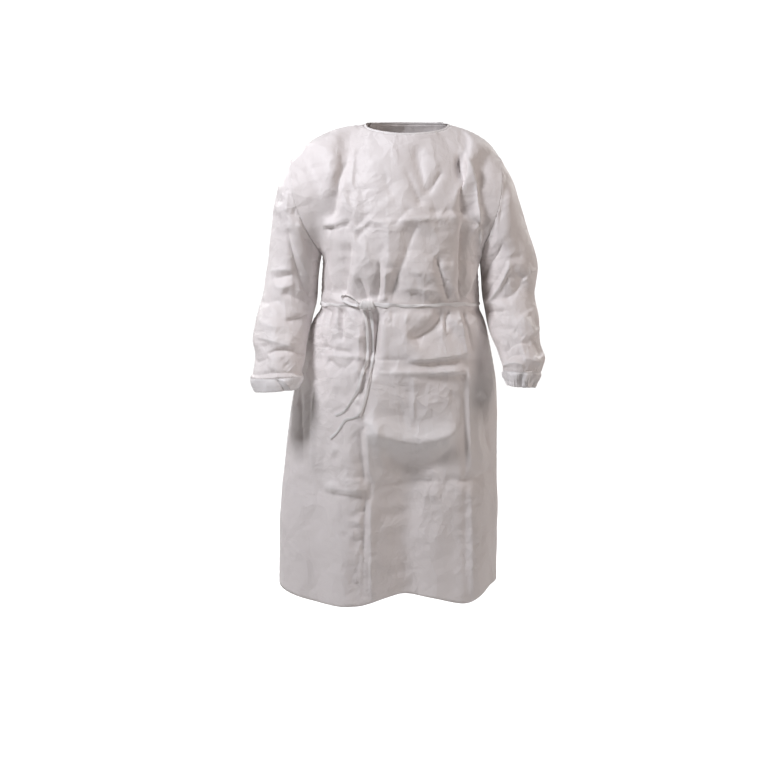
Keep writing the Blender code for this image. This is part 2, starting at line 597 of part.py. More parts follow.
def skin_triangles(outer, closed):
    """Corner indices of a grid's triangles, each cell cut along its shorter diagonal."""
    rows, columns = outer.shape[:2]
    number = np.arange(rows * columns).reshape(rows, columns)
    if closed:
        number = np.concatenate((number, number[:, :1]), axis=1)
        outer = np.concatenate((outer, outer[:, :1]), axis=1)
    a, b, c, d = number[:-1, :-1], number[:-1, 1:], number[1:, 1:], number[1:, :-1]
    first = np.linalg.norm(outer[:-1, :-1] - outer[1:, 1:], axis=-1)
    second = np.linalg.norm(outer[:-1, 1:] - outer[1:, :-1], axis=-1)
    short = (first <= second)[..., None]
    one = np.where(short, np.stack((a, b, c), -1), np.stack((a, b, d), -1))
    two = np.where(short, np.stack((a, c, d), -1), np.stack((b, c, d), -1))
    return np.concatenate((one.reshape(-1, 3), two.reshape(-1, 3))), number


def wall(name, outer, inner, closed, colour):
    """A cloth wall between an outer and an inner grid, its rims closed by narrow triangles."""
    skin, number = skin_triangles(outer, closed)
    count = outer.shape[0] * outer.shape[1]
    if closed:
        rims = (number[0], number[-1])
    else:
        rims = (np.concatenate((number[0, :-1], number[:-1, -1], number[-1, :0:-1], number[::-1, 0])),)
    faces = skin.tolist() + (skin[:, ::-1] + count).tolist()
    for rim in rims:
        faces += np.stack((rim[:-1], rim[1:], rim[1:] + count), axis=-1).tolist()
        faces += np.stack((rim[:-1], rim[1:] + count, rim[:-1] + count), axis=-1).tolist()
    vertices = np.concatenate((outer.reshape(-1, 3), inner.reshape(-1, 3)))
    return new_object(name, vertices.tolist(), faces, colour)


def tube(name, rings, colour):
    """A closed body through outline rings, capped at both ends."""
    count, corners = rings.shape[:2]
    number = np.arange(count * corners).reshape(count, corners)
    number = np.concatenate((number, number[:, :1]), axis=1)
    faces = np.stack((number[:-1, :-1], number[:-1, 1:], number[1:, 1:], number[1:, :-1]), -1).reshape(-1, 4)
    caps = [number[0, :-1].tolist(), number[-1, :-1].tolist()]
    return new_object(name, rings.reshape(-1, 3).tolist(), faces.tolist() + caps, colour)


def pulled_back(grid, axis, end, distance):
    """The grid with one rim moved inwards along its own lines by a small distance."""
    moved = grid.copy()
    rim = [slice(None)] * grid.ndim
    near = [slice(None)] * grid.ndim
    rim[axis] = 0 if end == 0 else -1
    near[axis] = 1 if end == 0 else -2
    rim, near = tuple(rim), tuple(near)
    moved[rim] = grid[rim] + unit(grid[near] - grid[rim]) * distance
    return moved


def build_panel(name, outer, normals, colour=CLOTH_COLOUR):
    """A body panel: its wall goes in from the outer grid; side and shoulder edges leave a seam."""
    trimmed = outer
    for axis, end in ((1, 0), (1, -1), (0, -1)):
        trimmed = pulled_back(trimmed, axis, end, SEAM_GAP / 2)
    return wall(name, trimmed, trimmed - normals * WALL, False, colour)


def lap_height(columns, centre):
    """Lift of the outer back half by column: none at its side, full from where the halves lap."""
    return LAP_LIFT * ease((columns - (centre - LAP_STEPS - LAP_RAMP_STEPS)) / LAP_RAMP_STEPS)


def share_normals(one, other):
    """Two rims that are sewn together get the same wall direction, where theirs roughly agree."""
    agree = np.sum(one * other, axis=-1, keepdims=True) > 0
    shared = unit(one + other)
    return np.where(agree, shared, one), np.where(agree, shared, other)


def share_armhole(sleeve_normals, front_normals, back_normals, right):
    """The sleeve's first ring and the armhole edges of front and back get shared directions."""
    steps = ARMHOLE_STEPS
    way = slice(None, None, -1) if right else slice(None)
    front, back = front_normals[-1, way], back_normals[-1, way]
    ring = np.concatenate((front[:steps + 1], back[1:steps][::-1]))
    sleeve_normals[0], ring = share_normals(sleeve_normals[0], ring)
    front[:steps + 1] = ring[:steps + 1]
    back[1:steps] = ring[:steps:-1]
    back[0], back[steps] = ring[0], ring[steps]


def build_sleeve(side_name, sleeve, surface, cuff):
    """A sleeve from its armhole edge, just clear of the body's, down to the wrist, and its cuff,
    a short wall that carries on from there."""
    outer, normals = surface
    cuff_outer, cuff_normals = cuff
    normals[-1], cuff_normals[0] = share_normals(normals[-1], cuff_normals[0])
    outer = pulled_back(pulled_back(outer, 0, 0, ARMHOLE_GAP), 0, -1, SEAM_GAP)
    outer[0, :, 0] += math.copysign(SEAM_GAP, sleeve["out_x"][0])
    wall("sleeve_" + side_name, outer, outer - normals * WALL, True, CLOTH_COLOUR)
    wall("cuff_" + side_name, cuff_outer, cuff_outer - cuff_normals * WALL, True, TRIM_COLOUR)


def neck_path(front, front_normals, left_half, right_half, back_normals):
    """The neck edge from the end of the outer half, round the front, to the inner half's end:
    its points, the wall's directions there and the directions on past the edge."""
    first = ARMHOLE_STEPS + SHOULDER_STEPS
    centre = first + BACK_NECK_STEPS // 2
    front_picks = np.arange(first, first + FRONT_NECK_STEPS + 1)
    left_picks = np.arange(centre + LAP_STEPS, first, -1)
    right_picks = np.arange(first + BACK_NECK_STEPS - 1, centre - LAP_STEPS - 1, -1)
    shift = centre - LAP_STEPS
    points, inside = (np.concatenate((left_half[row, left_picks], front[row, front_picks],
                                      right_half[row, right_picks - shift])) for row in (-1, -2))
    normals = np.concatenate((back_normals[-1, left_picks], front_normals[-1, front_picks],
                              back_normals[-1, right_picks]))
    onward = unit(points - inside)
    for _ in range(NECK_EVENING_PASSES):
        onward[1:-1] = unit(2 * onward[1:-1] + onward[:-2] + onward[2:])
    onward = unit(onward - normals * np.sum(onward * normals, axis=-1, keepdims=True))
    return points, normals, onward


def build_binding(points, normals, onward):
    """The neck band: a narrow strip with a rounded top that carries the wall on past its edge."""
    outer, inner = BINDING_PROUD, -WALL - BINDING_PROUD
    bevel = (outer - inner) / 4
    corners = ((outer, SEAM_GAP), (outer, BINDING_HEIGHT - bevel), (outer - bevel, BINDING_HEIGHT),
               (inner + bevel, BINDING_HEIGHT), (inner, BINDING_HEIGHT - bevel), (inner, SEAM_GAP))
    rings = np.stack([points + normals * out + onward * up for out, up in corners], axis=1)
    return tube("neck_binding", rings, TRIM_COLOUR)


def front_place(front, x, z):
    """Depth of the folded front at places seen from the front, read off its grid."""
    depths = []
    for place_x, place_z in zip(x, z):
        row_y = [np.interp(place_x, row[:, 0], row[:, 1]) for row in front]
        row_z = [np.interp(place_x, row[:, 0], row[:, 2]) for row in front]
        depths.append(np.interp(place_z, row_z, row_y))
    return np.array(depths)


def route_points(front, route, steps):
    """A smooth route over the front through its rows, each lifted off the cloth."""
    knots = np.arange(len(route["x"]), dtype=float)
    at = np.linspace(0, knots[-1], steps + 1)
    x, z, lift = (smooth(at, knots, route[name]) for name in ROUTE_COLUMNS.split())
    return np.stack((x, front_place(front, x, z) - lift, z), axis=-1)


def strap_rings(path, width, on_edge=False):
    """Outline rings of a flat strap along a path, lying on the front or standing on its edge."""
    along = unit(np.gradient(path, axis=0))
    facing = np.array((0.0, -1.0, 0.0))
    across = unit(np.cross(along, facing))
    normal = unit(np.cross(across, along))
    if on_edge:
        across, normal = normal, across
    half, thick = width / 2, STRAP_THICKNESS / 2
    corners = ((-half, -thick), (half, -thick), (half, thick), (-half, thick))
    return np.stack([path + across * a + normal * b for a, b in corners], axis=1)


def build_belt(front, front_normals, back, back_normals):
    """The belt's round: a strap on the cloth's own points at the waist, moved out, that rides up
    on the outer back half and comes down past its edge."""
    columns = np.arange(back.shape[1])
    centre = (back.shape[1] - 1) / 2
    rise = lap_height(columns, centre)
    fall = 1 - ease((columns - (centre + LAP_STEPS + 1)) / LAP_RAMP_STEPS)
    lifted = back + back_normals * (rise * fall)[None, :, None]
    loop = np.concatenate((front, lifted[:, ::-1][:, 1:-1]), axis=1)
    normals = np.concatenate((front_normals, back_normals[:, ::-1][:, 1:-1]), axis=1)
    low, high = loop[BELT_LOW_ROW], loop[BELT_HIGH_ROW]
    normal = unit(normals[BELT_LOW_ROW] + normals[BELT_HIGH_ROW])
    half_share = BELT_HEIGHT / 2 / (LEVELS[BELT_HIGH_ROW] - LEVELS[BELT_LOW_ROW])
    edges = [low + (high - low) * (0.5 + sign * half_share) for sign in (-1, 1)]
    gap, top = 1.5 * SEAM_GAP, 1.5 * SEAM_GAP + STRAP_THICKNESS
    outer = np.stack([edge + normal * top for edge in edges])
    inner = np.stack([edge + normal * gap for edge in edges])
    return wall("belt", outer, inner, True, BELT_COLOUR)


def build_knot(front):
    """The belt's knot: a flattened round lump with the strap's turns as shallow waists."""
    around = np.linspace(0, 2 * math.pi, 16, endpoint=False)
    along = np.linspace(-0.94, 0.94, 9)
    width, height, depth = KNOT_HALF_SIZE
    swell = np.sqrt(1 - along**2)**0.7 * (1 + 0.10 * np.cos(along * 7))
    middle = front_place(front, np.array(KNOT[:1]), np.array(KNOT[1:]))[0] - KNOT_LIFT
    x = KNOT[0] + width * along[:, None] + 0 * around
    y = middle - depth * swell[:, None] * np.sin(around)
    z = KNOT[1] + height * swell[:, None] * np.cos(around)
    return tube("belt_knot", np.stack((x, y, z), axis=-1), BELT_COLOUR)


def build_gown():
    """Every cut piece of the gown as its own body."""
    front_base, front_normals, back_base, back_normals = body_surfaces()
    back_rows = {name: np.concatenate((BACK_FOLDS[name], extra)) for name, extra in back_gathers().items()}
    front = folded(front_base, front_normals, FRONT_FOLDS)
    back = folded(back_base, back_normals, back_rows)
    columns = np.arange(back.shape[1])
    centre = (back.shape[1] - 1) // 2
    lifted = back + back_normals * lap_height(columns, centre)[None, :, None]
    left_end, right_start = centre + LAP_STEPS + 1, centre - LAP_STEPS
    left_half, right_half = lifted[:, :left_end], back[:, right_start:]

    sleeves = (("left", SLEEVE_LEFT, SLEEVE_LEFT_FOLDS, CUFF_GATHERS_LEFT, CUFF_GATHER_DEPTH_LEFT),
               ("right", SLEEVE_RIGHT, SLEEVE_RIGHT_FOLDS, CUFF_GATHERS_RIGHT, CUFF_GATHER_DEPTH_RIGHT))
    for side_name, sleeve, folds, gathers, depth in sleeves:
        surface = sleeve_surface(sleeve, folds)
        share_armhole(surface[1], front_normals, back_normals, side_name == "right")
        build_sleeve(side_name, sleeve, surface, cuff_surface(sleeve, gathers, depth))
    build_panel("front_panel", front, front_normals)
    build_panel("back_panel_left", left_half, back_normals[:, :left_end])
    build_panel("back_panel_right", right_half, back_normals[:, right_start:])
    build_binding(*neck_path(front, front_normals, left_half, right_half, back_normals))
    build_belt(front, front_normals, back, back_normals)
    build_knot(front)
    tube("belt_loop", strap_rings(route_points(front, LOOP_ROUTE, LOOP_STEPS), TAIL_WIDTH, True), BELT_COLOUR)
    tube("belt_tail_a", strap_rings(route_points(front, TAIL_A_ROUTE, TAIL_STEPS), TAIL_WIDTH), BELT_COLOUR)
    tube("belt_tail_b", strap_rings(route_points(front, TAIL_B_ROUTE, TAIL_STEPS), TAIL_WIDTH), BELT_COLOUR)


def main():
    """Empty the scene, then build the gown in it."""
    for old in list(bpy.data.objects):
        bpy.data.objects.remove(old, do_unlink=True)
    build_gown()


main()
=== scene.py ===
import functools
import math

import bpy
import numpy as np
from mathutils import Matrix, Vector
from mathutils.bvhtree import BVHTree


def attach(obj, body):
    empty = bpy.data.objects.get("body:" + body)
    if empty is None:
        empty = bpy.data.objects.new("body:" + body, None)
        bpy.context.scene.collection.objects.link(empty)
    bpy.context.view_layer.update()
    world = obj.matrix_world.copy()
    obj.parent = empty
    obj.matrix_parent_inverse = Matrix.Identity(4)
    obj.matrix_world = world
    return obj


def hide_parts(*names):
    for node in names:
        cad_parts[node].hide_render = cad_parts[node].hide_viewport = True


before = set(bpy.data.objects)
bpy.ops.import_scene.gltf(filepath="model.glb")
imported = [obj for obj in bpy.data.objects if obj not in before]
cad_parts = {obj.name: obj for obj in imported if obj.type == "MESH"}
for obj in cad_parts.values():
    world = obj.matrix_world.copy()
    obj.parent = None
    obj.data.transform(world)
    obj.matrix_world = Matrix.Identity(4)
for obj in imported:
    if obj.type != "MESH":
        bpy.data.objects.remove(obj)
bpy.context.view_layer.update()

bl_info = {
    "name": "Isolation Gown",
    "version": (1, 0, 0),
    "blender": (4, 5, 0),
    "location": "3D View > Sidebar > Gown",
    "description": "Makes the cloth, belt, tape and stitching of a worn nonwoven isolation gown",
    "category": "Object",
}

BODY = "root"

# The form, as the solids have it, in metres. The tables made by measured, folds and creases are
# written in millimetres. Left and right are as seen from the front.
ARMPIT_Z = -0.330           # lowest level of the yoke, above it the cloth runs up to its edges
BELT_Z = -0.420
BELT_HEIGHT = 0.011
NECK_MIDDLE_X = 0.011
NECK_HALF_WIDTH = 0.101
NECK_SIDE_Z = 0.0015
NECK_FRONT_Y = -0.075
NECK_FRONT_DROP = 0.029
NECK_BACK_Y = 0.062
NECK_BACK_RISE = 0.006
BINDING_HEIGHT = 0.006

# How many grid intervals each edge of a panel takes.
ARMHOLE_STEPS = 11
SHOULDER_STEPS = 8
FRONT_NECK_STEPS = 16
BACK_NECK_STEPS = 12
LAP_STEPS = 4               # the halves pass the centre back by this many intervals
LAP_RAMP_STEPS = 4          # intervals over which the outer half lifts off
YOKE_STEPS = 8              # intervals from the armpit level up to the top edge
NECK_EVENING_PASSES = 4     # times that the directions at the neck edge are evened out
SIDE_CROWDING = 0.25        # columns stand closer at the centre and wider at the sides

# Levels of the grid rows under the yoke, from the hem up. The first is the hem.
LEVELS = (-1.108, -1.03, -0.95, -0.87, -0.79, -0.71, -0.64, -0.58, -0.53,
          -0.485, -0.452, -0.430, -0.410, -0.390, -0.360, ARMPIT_Z)
BELT_LOW_ROW = 11
BELT_HIGH_ROW = 12
HEM_SWAY_TOP = -0.95        # the hem's rises and dips have died out at this level


def table(names, rows):
    """A short table as one array for each named column."""
    return dict(zip(names.split(), np.array(rows, float).T))


def measured(names, rows, plain=()):
    """A short table whose rows are in millimetres, all but their plain columns."""
    return {name: column if name in plain else column / 1000 for name, column in table(names, rows).items()}


# Level sections of the body: its extreme left, right, front and back, where its sides lie in
# depth, and the power of its rounded outline (2 is an ellipse, more is squarer).
SECTIONS = measured("z left right front back side power", (
    (-1108, -299, 231, -150, 172, 15, 2.15),
    (-950, -296, 231, -150, 166, 18, 2.15),
    (-830, -286, 230, -150, 160, 20, 2.1),
    (-680, -269, 230, -152, 152, 22, 2.05),
    (-600, -254, 225, -152, 148, 24, 2),
    (-520, -235, 212, -149, 141, 22, 2),
    (-460, -213, 197, -140, 129, 14, 2.05),
    (-430, -194, 184, -128, 116, 6, 2.1),
    (-410, -193, 184, -128, 116, 4, 2.1),
    (-370, -192, 182, -141, 125, 2, 2.1),
    (-330, -189, 179, -147, 129, 0, 2.1),
), ("power",))

# Shoulder seams from the sleeve's top to the neck: share of the way, place across, level.
SHOULDER_LEFT = measured("share x z", (
    (0, -263, -81),
    (0.22, -235, -51),
    (0.5, -192, -23),
    (0.78, -139, -4),
    (1, -90, 1.5),
), ("share",))
SHOULDER_RIGHT = measured("share x z", (
    (0, 231, -76),
    (0.22, 206, -43),
    (0.5, 178, -23),
    (0.78, 145, -8),
    (1, 112, 1.5),
), ("share",))

# Directions in which the cloth of the front arrives at its top edge, by grid column: towards
# the near side of the body, towards the back, and up. The back has the same with depth turned.
ARRIVAL = table("column side back up", (
    (0.0, 0.35, 0.00, 0.92),
    (3.0, 0.70, -0.05, 0.65),
    (6.0, 0.84, 0.22, 0.42),
    (9.0, 0.70, 0.62, 0.00),
    (11.0, 0.45, 0.76, -0.40),
    (14.0, 0.05, 0.97, 0.05),
    (17.0, -0.30, 0.88, 0.22),
    (19.0, -0.80, 0.42, 0.30),
    (21.0, -0.62, 0.50, 0.58),
    (23.0, -0.38, 0.50, 0.78),
    (27.0, 0.00, 0.48, 0.87),
))
ARRIVAL_PULL = 0.36         # length of the yoke curves' handles, as a share of their span
EVENING_PASSES = 12         # times that the yoke's columns are evened out sideways

# Rings of the sleeves from armhole to cuff: outermost and innermost point of each ring seen
# from the front, the depth of its middle, half its depth, and how far its front and back bow
# out sideways. The last rows, from CUFF_ROW on, are the cuff.
SLEEVE_COLUMNS = "out_x out_z in_x in_z middle half bow"
SLEEVE_LEFT = measured(SLEEVE_COLUMNS, (
    (-263, -81, -191, -302, 0, 85, 20),
    (-287, -128, -197, -326, 4, 90, 14),
    (-300, -175, -200, -355, 8, 92, 8),
    (-312, -250, -202, -386, 10, 88, 4),
    (-320, -321, -204, -416, 2, 80, 0),
    (-331, -397, -212, -454, -18, 74, 0),
    (-346, -460, -221, -493, -48, 68, 0),
    (-349, -499, -225, -522, -70, 62, 0),
    (-343, -535, -229, -549, -90, 56, 0),
    (-347, -577, -235, -574, -108, 52, 0),
    (-353, -588, -231, -583, -111, 53, 0),
    (-343, -619, -242, -612, -118, 47, 0),
))
SLEEVE_RIGHT = measured(SLEEVE_COLUMNS, (
    (231, -76, 181, -300, 0, 85, 18),
    (258, -123, 187, -326, 4, 90, 14),
    (277, -172, 189, -355, 8, 92, 8),
    (300, -245, 191, -386, 12, 90, 4),
    (324, -331, 194, -417, 4, 84, 0),
    (313, -392, 199, -454, -16, 76, 0),
    (321, -457, 209, -491, -46, 68, 0),
    (324, -508, 219, -520, -68, 62, 0),
    (332, -542, 226, -545, -88, 58, 0),
    (325, -565, 232, -563, -100, 50, 0),
    (322, -573, 233, -570, -103, 48, 0),
    (309, -609, 244, -605, -112, 34, 0),
))
CUFF_ROW = 10

# The hem isn't level: how far it rises at shares of the way from the left side seam to the right
# one, in front and behind.
HEM_SWAY = measured("share front back", (
    (0, 14, 14),
    (0.12, 2, 8),
    (0.27, -13, -2),
    (0.4, -9, -6),
    (0.55, 11, 4),
    (0.66, 2, 2),
    (0.76, -10, -6),
    (0.88, 18, 8),
    (1, 25, 25),
), ("share",))

# Folds, each a soft trough (negative depth) or ridge along a line seen from the front or the
# back: both ends, sideways bow at half way, half width and depth. An end past the hem keeps
# the fold open there.
FOLD_COLUMNS = "x0 z0 x1 z1 bow width depth"


def folds(*rows):
    """A table of folds, in millimetres."""
    return measured(FOLD_COLUMNS, rows)


FRONT_FOLDS = folds(
    # Yoke and chest.
    (-126, -60, -168, -225, 4, 14, -11),
    (-152, -70, -190, -215, 0, 14, 6),
    (131, -60, 146, -228, 3, 12, -11),
    (151, -60, 182, -250, 2, 13, 9),
    (142, -205, 133, -410, 0, 11, -9),
    (160, -230, 158, -400, 2, 12, 5),
    (28, -45, 52, -200, 4, 13, -4),
    (34, -205, -32, -412, 4, 13, -5),
    (-100, -228, 150, -217, 2, 12, 4),
    (-200, -240, -118, -216, -6, 12, -5),
    # Gathers over the belt.
    (-132, -265, -153, -420, 0, 14, -11),
    (-116, -330, -123, -420, 0, 11, 6),
    (-100, -355, -92, -420, 0, 10, -7),
    (-57, -300, -64, -420, 3, 11, -7),
    (-2, -360, -4, -420, 0, 11, -4),
    (72, -290, 104, -425, 3, 11, -7),
    (-172, -350, -176, -420, 0, 10, -6),
    (168, -340, 171, -420, 0, 9, -6),
    # Gathers and pleats under the belt.
    (-64, -420, -78, -600, -4, 13, -20),
    (-92, -415, -106, -620, 0, 13, 8),
    (-40, -415, -48, -600, 0, 13, 8),
    (-139, -420, -146, -540, 0, 10, -9),
    (-164, -420, -186, -560, 4, 12, -8),
    (11, -497, 99, -431, 16, 15, -9),
    (22, -420, 34, -520, 0, 12, -4),
    (118, -420, 122, -560, 0, 10, -8),
    (162, -420, 178, -600, 0, 12, -7),
    # Upright folds from packing and the drape between them down to the hem.
    (-88, -520, -90, -1300, 4, 12, 7),
    (-118, -560, -128, -1600, 0, 45, 18),
    (16, -640, 10, -1600, 0, 55, -34),
    (134, -420, 154, -1550, 12, 15, 12),
    (160, -700, 168, -1600, 0, 45, 14),
    (-206, -700, -214, -1600, 0, 40, -14),
    (206, -620, 214, -1500, 0, 14, -7),
    # Level folds and the sag between the thighs.
    (-225, -541, -95, -537, 3, 12, -4),
    (-60, -556, 160, -545, 3, 13, -5),
    (-96, -693, 140, -698, 34, 26, 13),
    (-70, -748, 130, -752, 40, 30, -2),
    (26, -570, 27, -700, 0, 10, 4),
    (-280, -826, -60, -842, 4, 12, 4),
    (-90, -842, 235, -805, -12, 12, 4),
    (-176, -540, -140, -590, 0, 11, -6),
    (-140, -840, -108, -930, 0, 12, -5),
    (-95, -945, -122, -1070, 0, 12, -5),
)
BACK_FOLDS = folds(
    (-150, -50, -178, -260, 4, 14, -9),
    (140, -55, 166, -265, 4, 14, -9),
    (-180, -232, 175, -224, 4, 13, 4),
    (-110, -430, -140, -1500, 6, 45, 18),
    (125, -430, 150, -1500, 6, 42, 16),
    (10, -640, 15, -1600, 0, 50, -20),
    (-205, -620, -225, -1600, 0, 35, -12),
    (188, -620, 196, -1600, 0, 30, -10),
    (-240, -838, 210, -826, 8, 13, 4),
    (-190, -560, 170, -548, 5, 13, -4),
)
# Gathers of the back at the belt, placed by a loop.
BACK_GATHERS = 13
BACK_GATHER_SPAN = 0.330
BACK_GATHER_WIDTH = 0.0095
BACK_GATHER_DEPTH = 0.008
UNEVEN = 0.618              # steps round a circle by the golden share, never repeating

# Folds of the sleeves, seen from the front (-1) or the back (1).
SLEEVE_LEFT_FOLDS = {-1: folds(
    (-276, -190, -205, -420, 10, 13, -8),
    (-262, -195, -190, -255, 3, 11, -6),
    (-325, -358, -240, -345, 4, 12, -8),
    (-330, -395, -225, -430, 6, 12, -6),
    (-345, -455, -232, -462, -12, 12, -7),
    (-348, -520, -240, -528, -8, 11, -6),
    (-300, -430, -290, -560, 4, 12, 5),
), 1: folds(
    (-300, -180, -215, -400, 8, 14, -8),
    (-325, -350, -225, -385, 5, 12, -8),
    (-340, -420, -230, -440, 6, 12, -7),
    (-345, -505, -240, -515, -6, 12, -6),
)}
SLEEVE_RIGHT_FOLDS = {-1: folds(
    (222, -100, 224, -262, 2, 12, -7),
    (182, -206, 262, -172, 3, 11, 5),
    (246, -262, 182, -372, 4, 13, -9),
    (262, -300, 196, -420, 3, 13, 8),
    (322, -352, 250, -372, 3, 12, -8),
    (318, -420, 215, -440, -6, 12, -6),
    (325, -490, 222, -500, -8, 12, -6),
    (275, -440, 282, -560, 0, 12, 5),
), 1: folds(
    (290, -170, 205, -390, -8, 14, -8),
    (320, -350, 215, -380, 5, 12, -8),
    (318, -430, 215, -455, 6, 12, -7),
    (325, -505, 225, -515, -6, 12, -6),
)}

# The belt's knot and its loose ends lie on the front: place across, level and lift off it.
KNOT = (-0.083, -0.419)
ROUTE_COLUMNS = "x z lift"
LOOP_ROUTE = measured(ROUTE_COLUMNS, (
    (-103.6, -413, 8.5),
    (-112, -405, 8.5),
    (-123, -399, 8.2),
    (-134, -396.5, 7.8),
    (-141, -400, 7.4),
    (-139.5, -407, 7.2),
    (-130, -412.5, 7.2),
    (-118, -417.5, 7.4),
    (-104.5, -421.5, 7.8),
))
TAIL_A_ROUTE = measured(ROUTE_COLUMNS, (
    (-89, -430.5, 8.5),
    (-85, -448, 6.5),
    (-82, -470, 5),
    (-81, -495, 4.6),
    (-80.5, -520, 4.6),
    (-82, -545, 4.6),
    (-90, -566, 4.6),
    (-96, -585, 4.6),
    (-101, -605, 4.4),
    (-113, -629, 4.4),
    (-126, -650, 4.4),
    (-137, -664, 4.4),
    (-156, -673, 4.4),
))
TAIL_B_ROUTE = measured(ROUTE_COLUMNS, (
    (-75.5, -430.5, 8.5),
    (-72, -450, 6.5),
    (-69.5, -475, 5),
    (-69, -500, 4.6),
    (-69, -525, 4.6),
    (-70, -545, 4.6),
    (-73.5, -570, 4.6),
    (-79, -600, 4.4),
    (-87, -635, 4.4),
    (-99, -666, 4.4),
    (-114, -676, 4.4),
    (-130, -680, 4.4),
    (-141, -694, 4.4),
    (-152, -710, 4.4),
    (-168, -726, 4.4),
))
TAIL_WIDTH = 0.008

# The cloth's own fineness over that form.
FINE = 4                    # fine columns for each column of the form's body
SLEEVE_FINE = 8             # fine columns for each column of the form's sleeve
HIGH_SPACING = 0.0038       # distance between fine rows, in the chest and round the belt
LOW_SPACING = 0.0074        # and in the plain lower skirt
LOW_LEVEL = -0.72
SLEEVE_ROWS = 190
NARROW_FOLD = 0.035         # folds narrower than this are mostly drawn by the sharper creases
NARROW_SHARE = 0.35
CREASE_GAIN = 2.0           # how much deeper the body's creases are than their tables say
SLEEVE_CREASE_GAIN = 1.25
CRINKLE_SHIFT = (0.017, 0.011)  # moves the sleeves' crinkles apart in front and behind
STRAP_CLEAR = 0.006         # half height of the cloth that lies flat under the belt
SCENE_LAP_LIFT = 0.0022     # the outer back half lies close on the inner one
GROOVE_WIDTH = 0.0026       # seams: a groove with uneven puckers along it
GROOVE_DEPTH = 0.0005
PUCKER_WIDTH = 0.011
PUCKER_DEPTH = 0.0007
PUCKER_PITCH = 0.0135

# Creases, crisper than folds: both ends, bow, reach to the right and to the left of the way that
# they run, depth, and their share of it at the start and at the end.
CREASE_COLUMNS = "x0 z0 x1 z1 bow right left depth start end"
CREST = 0.0008              # half width of a crease's rounded crest


def creases(*rows):
    """A table of creases, in millimetres, with the start's and the end's shares."""
    return measured(CREASE_COLUMNS, rows, ("start", "end"))


